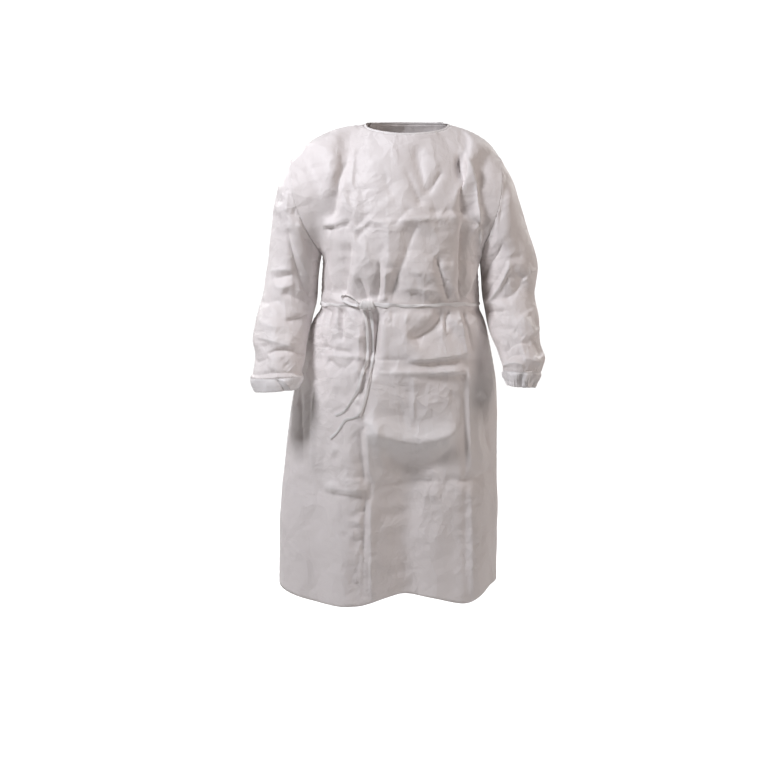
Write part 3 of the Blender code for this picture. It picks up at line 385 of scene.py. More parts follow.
FRONT_CREASES = creases(
    # Chest, left to right.
    (-123, -77, -169, -234, 6, 22, 14, -7.5, 0.3, 1),
    (-111, -56, -117, -148, 0, 12, 5, 3.2, 0.8, 0.6),
    (-80, -36, -112, -82, 2, 12, 6, -3, 0.4, 1),
    (-187, -244, -120, -223, 7, 24, 5, -6, 0.8, 0.7),
    (-185, -236, -122, -216, 7, 4, 16, 3, 0.6, 0.6),
    (-73, -205, -109, -239, 0, 8, 5, -3, 0.5, 1),
    (-66, -230, -109, -270, 3, 9, 6, -3.4, 0.5, 1),
    (-82, -238, -111, -245, 0, 4, 6, 1.6, 0.6, 0.8),
    (-112, -251, -103, -345, 0, 8, 8, 1.8, 1, 0.4),
    (-91, -233, 142, -218, -2, 4, 4, 1.8, 0.8, 1.2),
    (58, -205, 142, -203, 0, 8, 14, -3, 0.6, 1),
    (-33, -225, -33, -333, 0, 20, 22, 3.2, 0.8, 0.8),
    (-33, -143, -33, -223, 0, 10, 10, 1.2, 0.3, 0.8),
    (39, -223, -29, -419, 4, 34, 30, -9, 0.7, 0.8),
    (21, -193, -22, -238, 1, 8, 6, -2.6, 1, 0.6),
    (29, -50, 61, -173, 4, 12, 12, -5, 0.7, 0.9),
    (6, -103, 46, -197, 0, 10, 6, -3.6, 0.5, 1),
    (91, -111, 58, -165, 0, 8, 8, -4.4, 1, 0.5),
    (-48, -89, -26, -178, 0, 9, 5, -2, 0.4, 1),
    (46, -59, 84, -105, 0, 10, 10, 2.2, 0.8, 0.8),
    (70, -251, 117, -249, 1, 6, 8, -1.6, 0.8, 0.8),
    (129, -69, 144, -223, 0, 6, 13, -6.6, 0.7, 1),
    (146, -63, 181, -236, -3, 11, 6, 7.2, 0.5, 1),
    (140, -222, 133, -412, 0, 4, 14, -7.4, 1, 0.8),
    (182, -237, 140, -412, -12, 12, 6, 5.6, 1, 0.7),
    (160, -251, 178, -232, 0, 10, 8, 3.6, 0.4, 1),
    # Gathers over the belt.
    (-117, -275, -143, -414, 4, 40, 10, -10.5, 0.6, 1),
    (-167, -289, -170, -412, 0, 12, 12, 3, 0.4, 1),
    (-102, -357, -80, -414, 0, 9, 6, -5.6, 0.3, 1.2),
    (-54, -311, -57, -414, 0, 11, 8, -8.2, 0.4, 1.2),
    (-40, -331, -44, -414, 0, 7, 10, 2.6, 0.6, 1),
    (79, -302, 107, -410, 0, 11, 10, -7, 0.9, 0.7),
    (-18, -386, 104, -394, -8, 14, 30, 3.6, 0.8, 0.8),
    (18, -393, 47, -394, -2, 6, 6, -2.4, 0.8, 0.8),
    (141, -312, 165, -326, 0, 4, 6, -2.6, 0.8, 0.8),
    # Gathers, pleats and the deep valley under the belt.
    (-60, -427, -72, -545, 0, 30, 7, -15, 1, 0.9),
    (-102, -468, -100, -547, 0, 12, 16, 4.2, 0.5, 0.9),
    (-146, -424, -139, -507, 0, 8, 5, -6.2, 1.2, 0.4),
    (-154, -425, -151, -483, 0, 6, 5, 3, 1, 0.4),
    (-171, -425, -180, -478, 0, 8, 6, -4.8, 1.1, 0.3),
    (-189, -425, -198, -512, 0, 8, 8, -4, 1, 0.5),
    (-124, -424, -120, -473, 0, 7, 8, 3, 1, 0.3),
    (10, -497, 99, -429, 14, 46, 20, -9, 0.7, 1),
    (106, -429, 104, -483, 0, 7, 6, -5.6, 1.2, 0.3),
    (95, -429, 93, -512, 0, 8, 8, 2.6, 1, 0.4),
    (9, -430, 8, -542, 0, 12, 14, 1.8, 0.7, 0.7),
    (-25, -429, -24, -468, 0, 6, 8, -2, 1, 0.3),
    (128, -429, 150, -550, 0, 7, 16, 5.2, 1, 0.9),
    (141, -429, 165, -532, 0, 12, 6, -5, 1.2, 0.5),
    (162, -433, 187, -547, 0, 12, 8, 3.6, 1, 0.6),
    # Level creases of the skirt.
    (-193, -513, -114, -527, 3, 10, 4, -3.8, 0.8, 0.8),
    (-209, -538, -102, -537, 0, 4, 6, 1.6, 0.8, 0.8),
    (-175, -543, -139, -570, 0, 12, 6, -3.4, 0.8, 1),
    (-139, -570, -107, -541, 0, 6, 12, -3, 1, 0.7),
    (-75, -543, 11, -543, 0, 5, 4, -1.8, 0.8, 0.8),
    (9, -546, 150, -533, 2, 5, 34, 5.2, 0.8, 1),
    (15, -551, 150, -541, 2, 10, 3, -2.4, 0.8, 1),
    (-71, -572, 150, -574, 1, 8, 10, 4, 0.5, 1.5),
    (-54, -566, -24, -573, 0, 6, 4, -1.8, 0.8, 0.8),
    (49, -582, 149, -581, 0, 14, 4, -4, 0.4, 1),
    # The sag between the thighs.
    (-95, -692, 140, -697, 36, 50, 46, 15, 0.9, 0.8),
    (-94, -699, -54, -703, 0, 10, 7, -4, 1.2, 0.5),
    (-89, -683, -49, -708, 0, 6, 14, 3.6, 1, 0.5),
    (-54, -739, 119, -729, 66, 40, 30, -5, 0.8, 0.8),
    (22, -580, 26, -689, 0, 10, 28, 3, 0.6, 0.8),
    # Low creases.
    (-257, -829, -189, -847, 2, 6, 8, -2, 0.8, 0.9),
    (-191, -846, -84, -847, 0, 4, 12, 4.4, 1, 1),
    (-187, -850, -85, -851, 0, 10, 4, -2.2, 1, 1),
    (-155, -819, -125, -843, 0, 4, 6, -2.6, 0.8, 0.8),
    (-149, -825, -91, -827, 1, 4, 8, 2.8, 0.8, 1),
    (-165, -813, -95, -816, -1, 6, 6, -1.6, 0.7, 1),
    (-75, -838, 99, -823, -2, 6, 4, -3, 1, 0.9),
    (96, -823, 158, -828, -1, 6, 4, -2.4, 0.9, 1),
    (158, -828, 213, -806, 0, 8, 4, -3.4, 1, 0.8),
    (56, -821, 79, -807, 0, 4, 4, 1.4, 0.8, 0.8),
    # Upright packing creases.
    (-100, -547, -95, -693, 0, 12, 6, 3, 0.9, 0.9),
    (-96, -693, -86, -838, 0, 6, 4, -3.4, 0.9, 0.9),
    (-82, -683, -74, -838, 0, 5, 12, 3.6, 0.8, 1),
    (-86, -848, -92, -1123, 0, 8, 4, -3, 1, 0.8),
    (-74, -838, -73, -1128, 0, 5, 12, 3.4, 1, 0.9),
    (150, -550, 150, -825, 0, 8, 20, 5.2, 1, 1),
    (150, -825, 154, -1128, 0, 8, 22, 4.6, 1, 1),
    (140, -583, 142, -1123, 0, 6, 5, -1.6, 0.8, 0.8),
    # Crumples beside the left packing crease and low on the skirt.
    (-79, -885, -119, -914, 2, 6, 5, -2.8, 1, 0.6),
    (-75, -873, -80, -800, 3, 6, 5, -3, 0.8, 0.8),
    (-166, -926, -94, -930, -3, 5, 5, -2.2, 0.6, 1),
    (-160, -940, -87, -960, 2, 6, 4, -2.6, 0.6, 1.1),
    (-125, -952, -89, -954, 1, 4, 6, 2, 0.6, 1),
    (-140, -917, -92, -922, 1, 4, 6, 1.8, 0.6, 1),
    (-95, -935, -87, -978, 0, 5, 5, -2.4, 0.8, 0.8),
    (-89, -973, -105, -1050, 3, 6, 5, -2.2, 0.7, 0.8),
    (-186, -1039, -115, -1056, -2, 6, 6, 2, 0.5, 1),
    (-118, -1051, -94, -1079, 0, 5, 4, -3.4, 1, 0.8),
    (-118, -1051, -101, -1055, 0, 4, 5, 2.2, 1, 0.8),
    (-108, -1079, -99, -1112, 0, 5, 5, -1.8, 0.9, 0.6),
    (-84, -542, -109, -603, 0, 5, 5, -2.2, 1, 0.7),
    (-87, -575, -97, -663, 3, 5, 5, -2.2, 0.9, 0.9),
    (-54, -933, 16, -926, 3, 10, 10, 1.6, 0.8, 0.8),
    (-65, -906, 21, -904, -3, 10, 10, -1.4, 0.8, 0.8),
    (-24, -963, 67, -947, 4, 12, 10, 1.4, 0.8, 0.8),
    (26, -994, 72, -968, 4, 8, 8, -1.4, 0.8, 0.8),
    (-54, -891, 6, -878, 2, 8, 10, 1.4, 0.8, 0.8),
    (-55, -1050, 47, -1040, -4, 14, 14, -1.8, 0.8, 0.8),
    (181, -623, 207, -764, -4, 20, 10, -5, 0.8, 0.8),
    (170, -678, 182, -794, 3, 12, 14, 3.4, 0.8, 0.8),
    (-204, -593, -214, -825, 0, 6, 14, 3.6, 0.8, 0.9),
    (-249, -603, -243, -815, -4, 16, 12, -5, 0.7, 0.8),
)
BACK_CREASES = creases(
    (-155, -70, -186, -245, 5, 20, 12, -7, 0.3, 1),
    (-132, -75, -152, -260, 4, 10, 8, 3.6, 0.6, 0.9),
    (150, -70, 172, -245, -4, 10, 20, -7, 0.4, 1),
    (128, -80, 143, -255, -3, 8, 10, 3.6, 0.6, 0.9),
    (-60, -80, -18, -215, 6, 14, 12, -4, 0.6, 0.9),
    (85, -95, 50, -215, 6, 12, 14, -4, 0.6, 0.9),
    (20, -120, 28, -210, 0, 8, 8, -2.4, 0.4, 0.9),
    (-200, -229, 195, -222, 2, 4, 4, 2, 0.8, 1),
    (-150, -238, -40, -240, 2, 12, 6, -3, 0.7, 0.9),
    (-175, -250, -160, -400, 4, 12, 10, -6, 0.5, 1),
    (-70, -240, -96, -400, 5, 26, 10, -8, 0.5, 1),
    (-40, -310, -44, -400, 0, 10, 8, -6, 0.3, 1.1),
    (10, -280, -6, -400, 3, 18, 16, -6, 0.4, 1),
    (60, -230, 90, -400, -4, 10, 26, -8, 0.5, 1),
    (120, -320, 126, -400, 0, 8, 8, -5.6, 0.3, 1.1),
    (158, -260, 152, -400, 0, 10, 10, -5.6, 0.4, 1),
    (-150, -432, -168, -560, 3, 10, 10, -5.6, 1.1, 0.4),
    (-96, -430, -110, -600, 4, 16, 10, -8.6, 1.1, 0.5),
    (-40, -430, -46, -520, 0, 8, 8, -5, 1.1, 0.4),
    (0, -430, 4, -620, 0, 14, 16, -8, 1.1, 0.5),
    (60, -430, 70, -540, 0, 8, 10, -5, 1.1, 0.4),
    (100, -430, 114, -610, 4, 10, 16, -8.6, 1.1, 0.5),
    (150, -430, 162, -550, 0, 8, 10, -5, 1.1, 0.4),
    (-215, -546, -22, -541, 2, 6, 10, 3, 0.8, 1),
    (22, -541, 195, -548, 2, 6, 10, 3, 1, 0.8),
    (-100, -690, 95, -700, 30, 40, 36, 10, 0.8, 0.8),
    (-265, -838, -22, -843, 2, 5, 10, 3.4, 0.8, 1),
    (22, -843, 225, -834, 3, 5, 8, 3, 1, 0.8),
    (-122, -540, -126, -840, 0, 6, 14, 4, 0.9, 1),
    (-126, -845, -132, -1140, 0, 6, 14, 3.6, 1, 0.9),
    (136, -540, 140, -840, 0, 14, 6, 4, 0.9, 1),
    (140, -845, 146, -1140, 0, 14, 6, 3.6, 1, 0.9),
    (-185, -620, -130, -665, 4, 6, 6, -2.6, 0.7, 0.9),
    (110, -900, 175, -935, 4, 6, 6, -2.4, 0.9, 0.6),
    (-190, -930, -128, -965, 4, 6, 6, 2.4, 0.7, 1),
    (100, -640, 138, -700, 3, 6, 6, -2.6, 0.6, 1),
    (-180, -1010, -134, -1040, 2, 6, 5, -2.6, 0.6, 1),
)
SLEEVE_LEFT_CREASES = {-1: creases(
    # Upper part, by the armhole.
    (-245, -89, -247, -172, 4, 10, 20, -4.5, 0.6, 1),
    (-210, -60, -180, -178, 4, 12, 14, -7, 0.3, 1),
    (-199, -95, -194, -117, 0, 4, 4, -3, 1, 0.6),
    (-188, -80, -168, -126, 0, 6, 10, -2.4, 0.8, 0.4),
    (-231, -178, -182, -200, 4, 16, 10, -6, 0.5, 1),
    (-243, -178, -185, -183, 8, 10, 14, 5, 0.6, 1),
    (-256, -198, -194, -246, -4, 10, 9, -6.4, 0.9, 0.9),
    (-232, -205, -194, -252, -3, 8, 8, 5, 0.7, 1),
    (-246, -229, -204, -254, 4, 14, 12, 5.6, 0.6, 1),
    (-235, -267, -204, -259, 3, 22, 6, -5, 0.7, 1),
    (-284, -180, -261, -252, 4, 10, 12, 4, 0.6, 1),
    (-271, -218, -201, -426, 12, 6, 10, -6.2, 0.8, 1),
    (-264, -218, -206, -376, 10, 8, 22, 4, 0.8, 0.8),
    (-265, -155, -269, -212, 0, 10, 6, 3.4, 0.8, 0.8),
    (-215, -321, -180, -321, 0, 18, 6, -4.6, 0.6, 1),
    (-212, -352, -189, -352, 0, 6, 6, -2.4, 0.8, 0.8),
    (-311, -343, -250, -343, -4, 10, 14, 4, 0.8, 0.8),
    (-304, -358, -256, -349, 0, 10, 6, -5, 1, 0.7),
    (-282, -389, -210, -426, -4, 12, 22, -7, 0.9, 0.8),
    (-302, -376, -250, -368, 8, 12, 14, 5, 0.8, 0.8),
    # Forearm, down to the cuff.
    (-272, -456, -211, -438, 3, 20, 6, -5.6, 0.7, 1),
    (-338, -451, -283, -474, 3, 14, 10, 4, 0.8, 0.8),
    (-341, -494, -252, -519, -3, 8, 22, 5.6, 0.7, 0.8),
    (-318, -530, -222, -537, -14, 16, 8, -8.5, 0.8, 0.9),
    (-313, -524, -227, -530, -12, 6, 12, 3.6, 0.8, 0.8),
    (-342, -552, -308, -537, 0, 10, 10, -4, 0.8, 0.8),
    (-314, -552, -232, -573, 10, 16, 20, 5, 0.8, 0.8),
    (-344, -580, -227, -580, -8, 6, 12, -5, 0.9, 0.9),
    (-242, -542, -227, -580, 0, 8, 10, -5, 0.6, 1),
    (-277, -395, -270, -456, 0, 10, 10, 3, 0.7, 0.7),
    (-340, -415, -282, -405, 3, 10, 10, -4, 0.8, 0.8),
), 1: creases(
    (-250, -100, -232, -230, 4, 16, 10, -5.6, 0.5, 1),
    (-285, -170, -214, -400, 10, 10, 14, -7, 0.7, 1),
    (-262, -196, -196, -262, 4, 12, 8, -5.6, 0.6, 1),
    (-322, -330, -225, -356, 6, 18, 8, -7, 0.9, 0.8),
    (-326, -372, -230, -402, 8, 8, 14, 6, 0.8, 0.9),
    (-335, -430, -228, -446, -6, 14, 8, -6, 0.8, 0.8),
    (-342, -482, -236, -492, 6, 8, 14, -5.6, 0.9, 0.8),
    (-300, -500, -282, -560, 3, 10, 8, 4, 0.7, 1),
    (-342, -532, -242, -542, 4, 6, 10, -4.4, 0.9, 0.9),
)}
SLEEVE_RIGHT_CREASES = {-1: creases(
    # Upper part, by the armhole.
    (208, -80, 186, -149, 0, 12, 20, -7, 1, 0.5),
    (221, -100, 224, -246, -3, 8, 14, -5.2, 1, 0.7),
    (164, -126, 179, -166, 0, 8, 6, -4, 0.8, 0.8),
    (183, -201, 255, -169, 0, 3, 3, 1.6, 0.9, 0.9),
    (186, -206, 225, -190, 0, 3, 3, 1.4, 0.9, 0.8),
    (196, -213, 219, -208, 0, 4, 4, -1.2, 0.9, 0.8),
    (214, -246, 222, -215, 0, 10, 10, 2.4, 0.7, 0.7),
    (235, -277, 171, -397, 6, 10, 12, -7.8, 0.9, 0.7),
    (240, -269, 252, -310, 0, 10, 20, 3, 0.7, 1),
    (251, -316, 195, -426, -8, 10, 9, 9, 0.7, 1),
    (243, -316, 186, -411, -4, 8, 12, -4, 0.7, 0.8),
    (249, -339, 209, -417, -6, 12, 20, -6, 0.8, 1),
    (252, -333, 293, -358, 4, 26, 6, -7, 0.6, 1),
    (293, -363, 227, -408, -4, 12, 26, -8, 0.9, 0.8),
    (296, -342, 316, -340, 2, 10, 12, 4, 0.8, 0.8),
    (255, -362, 293, -361, 0, 3, 3, 1.2, 0.8, 0.8),
    (263, -241, 272, -319, -4, 20, 12, -4, 0.7, 0.8),
    (298, -313, 316, -339, 0, 8, 6, -3.4, 0.8, 0.8),
    # Forearm, down to the cuff.
    (193, -436, 242, -432, 2, 18, 8, -5.6, 1, 0.5),
    (272, -441, 308, -494, -4, 14, 20, 6, 0.8, 0.8),
    (193, -441, 209, -512, 6, 12, 14, 4, 0.8, 0.6),
    (217, -476, 265, -469, 2, 14, 10, -3.4, 0.8, 0.8),
    (257, -474, 280, -494, 0, 8, 8, -4.4, 0.8, 0.8),
    (230, -532, 300, -509, -12, 12, 12, -8, 0.8, 0.8),
    (242, -522, 295, -514, -8, 6, 8, 4, 0.8, 0.8),
    (305, -502, 324, -537, 0, 10, 10, -5.6, 0.8, 0.9),
    (237, -542, 280, -532, -6, 8, 10, -5.6, 0.9, 0.9),
    (230, -563, 281, -558, -10, 8, 8, 4.6, 0.9, 0.9),
    (275, -542, 319, -558, -5, 8, 8, 4.6, 0.9, 0.9),
    (230, -583, 301, -574, 8, 8, 8, -5.6, 0.9, 0.9),
    (281, -568, 311, -588, 0, 6, 6, -4, 0.9, 0.9),
    (301, -537, 321, -552, 0, 6, 6, 3.6, 0.9, 0.9),
    (295, -436, 318, -476, 0, 12, 10, -4.6, 0.8, 0.8),
), 1: creases(
    (246, -100, 222, -240, -4, 10, 16, -5.6, 0.5, 1),
    (285, -165, 205, -385, -10, 14, 10, -7, 0.7, 1),
    (250, -192, 188, -262, -4, 8, 12, -5.6, 0.6, 1),
    (318, -336, 215, -362, 6, 8, 18, -7, 0.9, 0.8),
    (312, -375, 212, -408, 8, 14, 8, 6, 0.8, 0.9),
    (316, -432, 218, -448, -6, 8, 14, -6, 0.8, 0.8),
    (322, -482, 226, -492, 6, 14, 8, -5.6, 0.9, 0.8),
    (284, -500, 268, -556, 3, 8, 10, 4, 0.7, 1),
    (326, -522, 238, -532, 4, 10, 6, -4.4, 0.9, 0.9),
)}

# Fine crinkles are drawn by chance from a fixed seed: how many, and the box and depth they take.
CRINKLE_COLUMNS = "seed count left right low high length depth"
BODY_CRINKLES = table(CRINKLE_COLUMNS, (
    (11, 60, -0.28, 0.22, -1.10, -0.45, 0.090, 0.0015),
    (12, 44, -0.18, 0.17, -0.40, -0.06, 0.070, 0.0014),
    (13, 24, -0.17, -0.07, -1.08, -0.50, 0.040, 0.0018),
    (14, 26, -0.18, 0.17, -0.50, -0.43, 0.034, 0.0020),
    (15, 16, -0.18, 0.17, -0.41, -0.34, 0.034, 0.0020),
))
SLEEVE_CRINKLES = table(CRINKLE_COLUMNS, (
    (21, 46, -0.36, 0.34, -0.58, -0.30, 0.055, 0.0022),
    (22, 24, -0.34, 0.32, -0.32, -0.10, 0.070, 0.0016),
    (23, 34, -0.36, 0.34, -0.58, -0.50, 0.036, 0.0024),
))

# Sleeves, cuffs, belt ends and knot.
SLEEVES = (("left", SLEEVE_LEFT, SLEEVE_LEFT_FOLDS, SLEEVE_LEFT_CREASES),
           ("right", SLEEVE_RIGHT, SLEEVE_RIGHT_FOLDS, SLEEVE_RIGHT_CREASES))
CUFF_ROWS = 22
# Height and number of the broad gathers and of the fine ones, depth of the tuck, and how far the
# elastic lines pull in.
CUFF_LOOKS = {"left": (0.0008, 4, 0.0003, 19, 0.0046, 0.0003), "right": (0.0022, 7, 0.0024, 29, 0.0, 0.0014)}
TUCK_PLACE = 0.70           # where the flatter cuff's twisted tuck lies across its front
TUCK_LEAN = 0.18
TIE_END_STATIONS = 150
# Each end's name, its solid, its route and where its turns start.
TIE_ENDS = (("tie_end_a", "belt_tail_a", TAIL_A_ROUTE, 0.5), ("tie_end_b", "belt_tail_b", TAIL_B_ROUTE, 2.1))
# The knot's turns in metres: middle, half depth, half height, lean to the side and strap width.
KNOT_TURNS = table("x z half_wide half_high lean width", (
    (-0.0930, -0.4185, 0.0050, 0.0088, 0.35, 0.0080),
    (-0.0855, -0.4192, 0.0056, 0.0100, 0.12, 0.0085),
    (-0.0775, -0.4188, 0.0056, 0.0096, -0.16, 0.0085),
    (-0.0705, -0.4186, 0.0046, 0.0082, -0.38, 0.0075),
))
CUFF_SEAM_PUCKER = 1.6      # the cuff's seam puckers more than the others
LEVEL_SAMPLES = 4000        # places up the cloth at which its level is looked up
RIDGE_HIGHLIGHT_AND_WHITENING_RATE = 60        # how fast a crease's ridge is painted lighter with its height, and how far: a painted highlight on the raised cloth, and partly the whitening of creased nonwoven
RIDGE_HIGHLIGHT_AND_WHITENING_MOST = 0.5
ROUTE_LIFT = 0.0026         # the belt's ends stand no farther off the cloth than this
KNOT_LIFT = 0.0085          # the middle of the knot's turns off the cloth
LOOP_LIFT = 0.0034          # the bow loop's line farther off the cloth than the route's
LOOP_WIDTH = 0.0072
SEEN_BACKGROUND = 1.15      # brightness of the background that the camera sees

# The camera stands where the photograph was taken from.
CAMERA_PLACE = (-0.0432, -3.4, -0.2794)
CAMERA_TILT = math.radians(5.604)
CAMERA_ANGLE = math.radians(30.19)
FLOOR_LEVEL = -1.48


def smooth(at, knots, values):
    """Values of a cubic through each knot that never swings past its neighbours."""
    if knots[0] > knots[-1]:
        knots, values = knots[::-1], values[::-1]
    spans = np.diff(knots)
    slopes = np.diff(values) / spans
    product = slopes[:-1] * slopes[1:]
    total = slopes[:-1] + slopes[1:]
    inner = np.where(product > 0, 2 * product / np.where(total == 0, 1, total), 0)
    tangents = np.concatenate((slopes[:1], inner, slopes[-1:]))
    place = np.clip(np.searchsorted(knots, at) - 1, 0, len(spans) - 1)
    t = np.clip((at - knots[place]) / spans[place], 0, 1)
    rise = values[place + 1] - values[place]
    start = tangents[place] * spans[place]
    end = tangents[place + 1] * spans[place]
    return values[place] + start * t + (3 * rise - 2 * start - end) * t**2 + (start + end - 2 * rise) * t**3


def unit(vectors):
    """Vectors of length one, along the last axis."""
    return vectors / np.maximum(np.linalg.norm(vectors, axis=-1, keepdims=True), 1e-12)


def ease(value):
    """0 to 1 with a soft start and end."""
    t = np.clip(value, 0, 1)
    return t * t * (3 - 2 * t)


def summed(steps):
    """A running sum of steps that starts at 0."""
    return np.concatenate(((0.0,), np.cumsum(steps)))


def run_along(points):
    """Length run from a line's start to each of its points."""
    return summed(np.linalg.norm(np.diff(points, axis=0), axis=-1))


def beside_line(x0, z0, x1, z1, bow, x, z):
    """Where places lie beside a bowed line: share of the way along it, distance to the right of it
    and distance past its ends."""
    length = math.hypot(x1 - x0, z1 - z0)
    along_x, along_z = (x1 - x0) / length, (z1 - z0) / length
    share = ((x - x0) * along_x + (z - z0) * along_z) / length
    inside = np.clip(share, 0, 1)
    across = (x - x0) * along_z - (z - z0) * along_x - bow * 4 * inside * (1 - inside)
    return inside, across, (share - inside) * length


def fold_height(troughs, x, z):
    """Sum of the folds' heights at places seen from the front or back: a bell across each fold's
    bowed line, fading over a quarter of its length at both ends."""
    height = np.zeros(np.shape(x))
    for x0, z0, x1, z1, bow, width, depth in zip(*troughs.values()):
        inside, across, past = beside_line(x0, z0, x1, z1, bow, x, z)
        fade = ease(inside * 4 + 0.15) * ease((1 - inside) * 4 + 0.15)
        height += depth * fade * np.exp(-(across**2 + past**2) / width**2)
    return height


def back_gathers():
    """Rows of the short gathers above and under the belt at the back, uneven in length and depth."""
    rows = []
    for index in range(BACK_GATHERS):
        turn = (index * UNEVEN) % 1
        x = BACK_GATHER_SPAN * ((index + 0.35 * turn) / (BACK_GATHERS - 1) - 0.5)
        depth = -BACK_GATHER_DEPTH * (0.6 + 0.4 * turn)
        lean = x * (0.12 + 0.10 * turn)
        above = 0.055 + 0.060 * turn
        below = 0.090 + 0.080 * (1 - turn)
        rows.append((x + lean * 0.3, BELT_Z + above, x, BELT_Z, 0, BACK_GATHER_WIDTH, depth))
        rows.append((x, BELT_Z, x + lean, BELT_Z - below, 0, BACK_GATHER_WIDTH, depth))
    return table(FOLD_COLUMNS, rows)


def belt_hold(z):
    """Share of a fold's height that the belt leaves: a tenth under the strap, all of it away."""
    return 1 - 0.9 * np.exp(-(np.maximum(np.abs(z - BELT_Z) - BELT_HEIGHT, 0) / 0.014)**2)


def body_ring(share, z, back):
    """Points of the body's rounded level outline. share runs from the left side seam to the
    right one, through the front, or through the back where back is true."""
    angle = math.pi * (share + SIDE_CROWDING * np.sin(2 * math.pi * share) / (2 * math.pi))
    names = ("left", "right", "front", "back", "side", "power")
    left, right, front, rear, side, power = (smooth(z, SECTIONS["z"], SECTIONS[name]) for name in names)
    across = np.sign(np.cos(angle)) * np.abs(np.cos(angle))**(2 / power)
    depth = np.abs(np.sin(angle))**(2 / power)
    x = (left + right) / 2 - (right - left) / 2 * across
    reach = rear if back else front
    return np.stack((x, side + (reach - side) * depth, z), axis=-1)


def sleeve_ring(sleeve, row, turn):
    """Points of a sleeve's ring: an ellipse through its outermost and innermost points, bowed
    sideways in front and behind. turn runs from the underarm (0) over the front to the top
    (half a circle) and down the back."""
    values = {name: smooth(row, np.arange(len(column)), column) for name, column in sleeve.items()}
    cos, sin = np.cos(turn), np.sin(turn)
    side = math.copysign(1, sleeve["out_x"][0])
    x = (values["out_x"] + values["in_x"]) / 2 - (values["out_x"] - values["in_x"]) / 2 * cos
    z = (values["out_z"] + values["in_z"]) / 2 - (values["out_z"] - values["in_z"]) / 2 * cos
    y = values["middle"] - values["half"] * sin
    return np.stack((x + side * values["bow"] * sin**2, y, z), axis=-1)


def shoulder_line(shoulder, shares):
    """Points of a shoulder seam from the sleeve's top to the neck."""
    x = smooth(shares, shoulder["share"], shoulder["x"])
    z = smooth(shares, shoulder["share"], shoulder["z"])
    return np.stack((x, np.zeros_like(x), z), axis=-1)


def neck_line(shares, back):
    """Points of the neck edge from left to right: half an ellipse that dips in front."""
    angle = math.pi * shares
    x = NECK_MIDDLE_X - NECK_HALF_WIDTH * np.cos(angle)
    y = (NECK_BACK_Y if back else NECK_FRONT_Y) * np.sin(angle)
    z = NECK_SIDE_Z + (NECK_BACK_RISE if back else -NECK_FRONT_DROP) * np.sin(angle)
    return np.stack((x, y, z), axis=-1)


def top_edge(back, fine=1):
    """The top edge of the front or back: armhole, shoulder, neck, shoulder, armhole, with each of
    the form's steps cut into several fine ones."""
    sign = -1 if back else 1
    arm = np.linspace(0, math.pi, ARMHOLE_STEPS * fine + 1) * sign
    seam = np.linspace(0, 1, SHOULDER_STEPS * fine + 1)
    neck = np.linspace(0, 1, (BACK_NECK_STEPS if back else FRONT_NECK_STEPS) * fine + 1)
    start = np.zeros_like(arm)
    return np.concatenate((
        sleeve_ring(SLEEVE_LEFT, start, arm)[:-1],
        shoulder_line(SHOULDER_LEFT, seam)[:-1],
        neck_line(neck, back),
        shoulder_line(SHOULDER_RIGHT, seam)[::-1][1:],
        sleeve_ring(SLEEVE_RIGHT, start, arm)[::-1][1:],
    ))


def arrivals(columns, back):
    """Unit directions in which the cloth reaches its top edge, one for each column. The back's
    neck has fewer columns, which spread over the same part of the table."""
    index = np.arange(columns)
    inward = np.minimum(index, columns - 1 - index).astype(float)
    corner = ARMHOLE_STEPS + SHOULDER_STEPS
    stretch = (ARRIVAL["column"][-1] - corner) / ((columns - 1) / 2 - corner)
    inward = np.where(inward > corner, corner + (inward - corner) * stretch, inward)
    near_side = np.where(index < columns / 2, -1, 1)
    x = near_side * smooth(inward, ARRIVAL["column"], ARRIVAL["side"])
    y = smooth(inward, ARRIVAL["column"], ARRIVAL["back"]) * (-1 if back else 1)
    return unit(np.stack((x, y, smooth(inward, ARRIVAL["column"], ARRIVAL["up"])), axis=-1))


def base_surface(back):
    """The smooth front or back without folds, rows from hem to top edge and columns from the
    left side seam to the right one. Under the armpit each row is a level section, above it each
    column is one cubic curve from the section to the top edge."""
    edge = top_edge(back)
    columns = len(edge)
    share = np.linspace(0, 1, columns)
    lower = np.stack([body_ring(share, np.full(columns, level), back) for level in LEVELS])
    sway = smooth(share, HEM_SWAY["share"], HEM_SWAY["back" if back else "front"])
    lower[..., 2] += sway * ease((HEM_SWAY_TOP - lower[..., 2]) / (HEM_SWAY_TOP - LEVELS[0]))
    start = lower[-1]
    span = np.linalg.norm(edge - start, axis=-1, keepdims=True)
    rise = unit(unit(edge - start) * 0.4 + np.array((0, 0, 1.0)))
    first = start + rise * span * ARRIVAL_PULL
    second = edge - arrivals(columns, back) * span * ARRIVAL_PULL
    t = np.linspace(0, 1, YOKE_STEPS + 1)[1:, None, None]
    upper = (1 - t)**3 * start + 3 * (1 - t)**2 * t * first + 3 * (1 - t) * t**2 * second + t**3 * edge
    index = np.arange(1, columns - 1)
    share_moved = 0.5 * (1 - t) * ease(np.minimum(index, columns - 1 - index) / 5)[None, :, None]
    for _ in range(EVENING_PASSES):
        between = (upper[:, :-2] + upper[:, 2:]) / 2
        upper[:, 1:-1] += (between - upper[:, 1:-1]) * share_moved
    return np.concatenate((lower, upper))


def grid_normals(grid, closed):
    """Unit normals of a grid by its central differences; closed grids wrap round their columns."""
    if closed:
        around = np.roll(grid, -1, axis=1) - np.roll(grid, 1, axis=1)
    else:
        around = np.gradient(grid, axis=1)
    return unit(np.cross(around, np.gradient(grid, axis=0)))


def number_setting(name, description, default, unit):
    """A number that the user may set, with its unit."""
    return bpy.props.FloatProperty(name=name, description=description, default=default, unit=unit)


def colour_setting(name, description, default):
    """A colour that the user may set."""
    return bpy.props.FloatVectorProperty(name=name, description=description, default=default,
                                         subtype="COLOR", size=3)


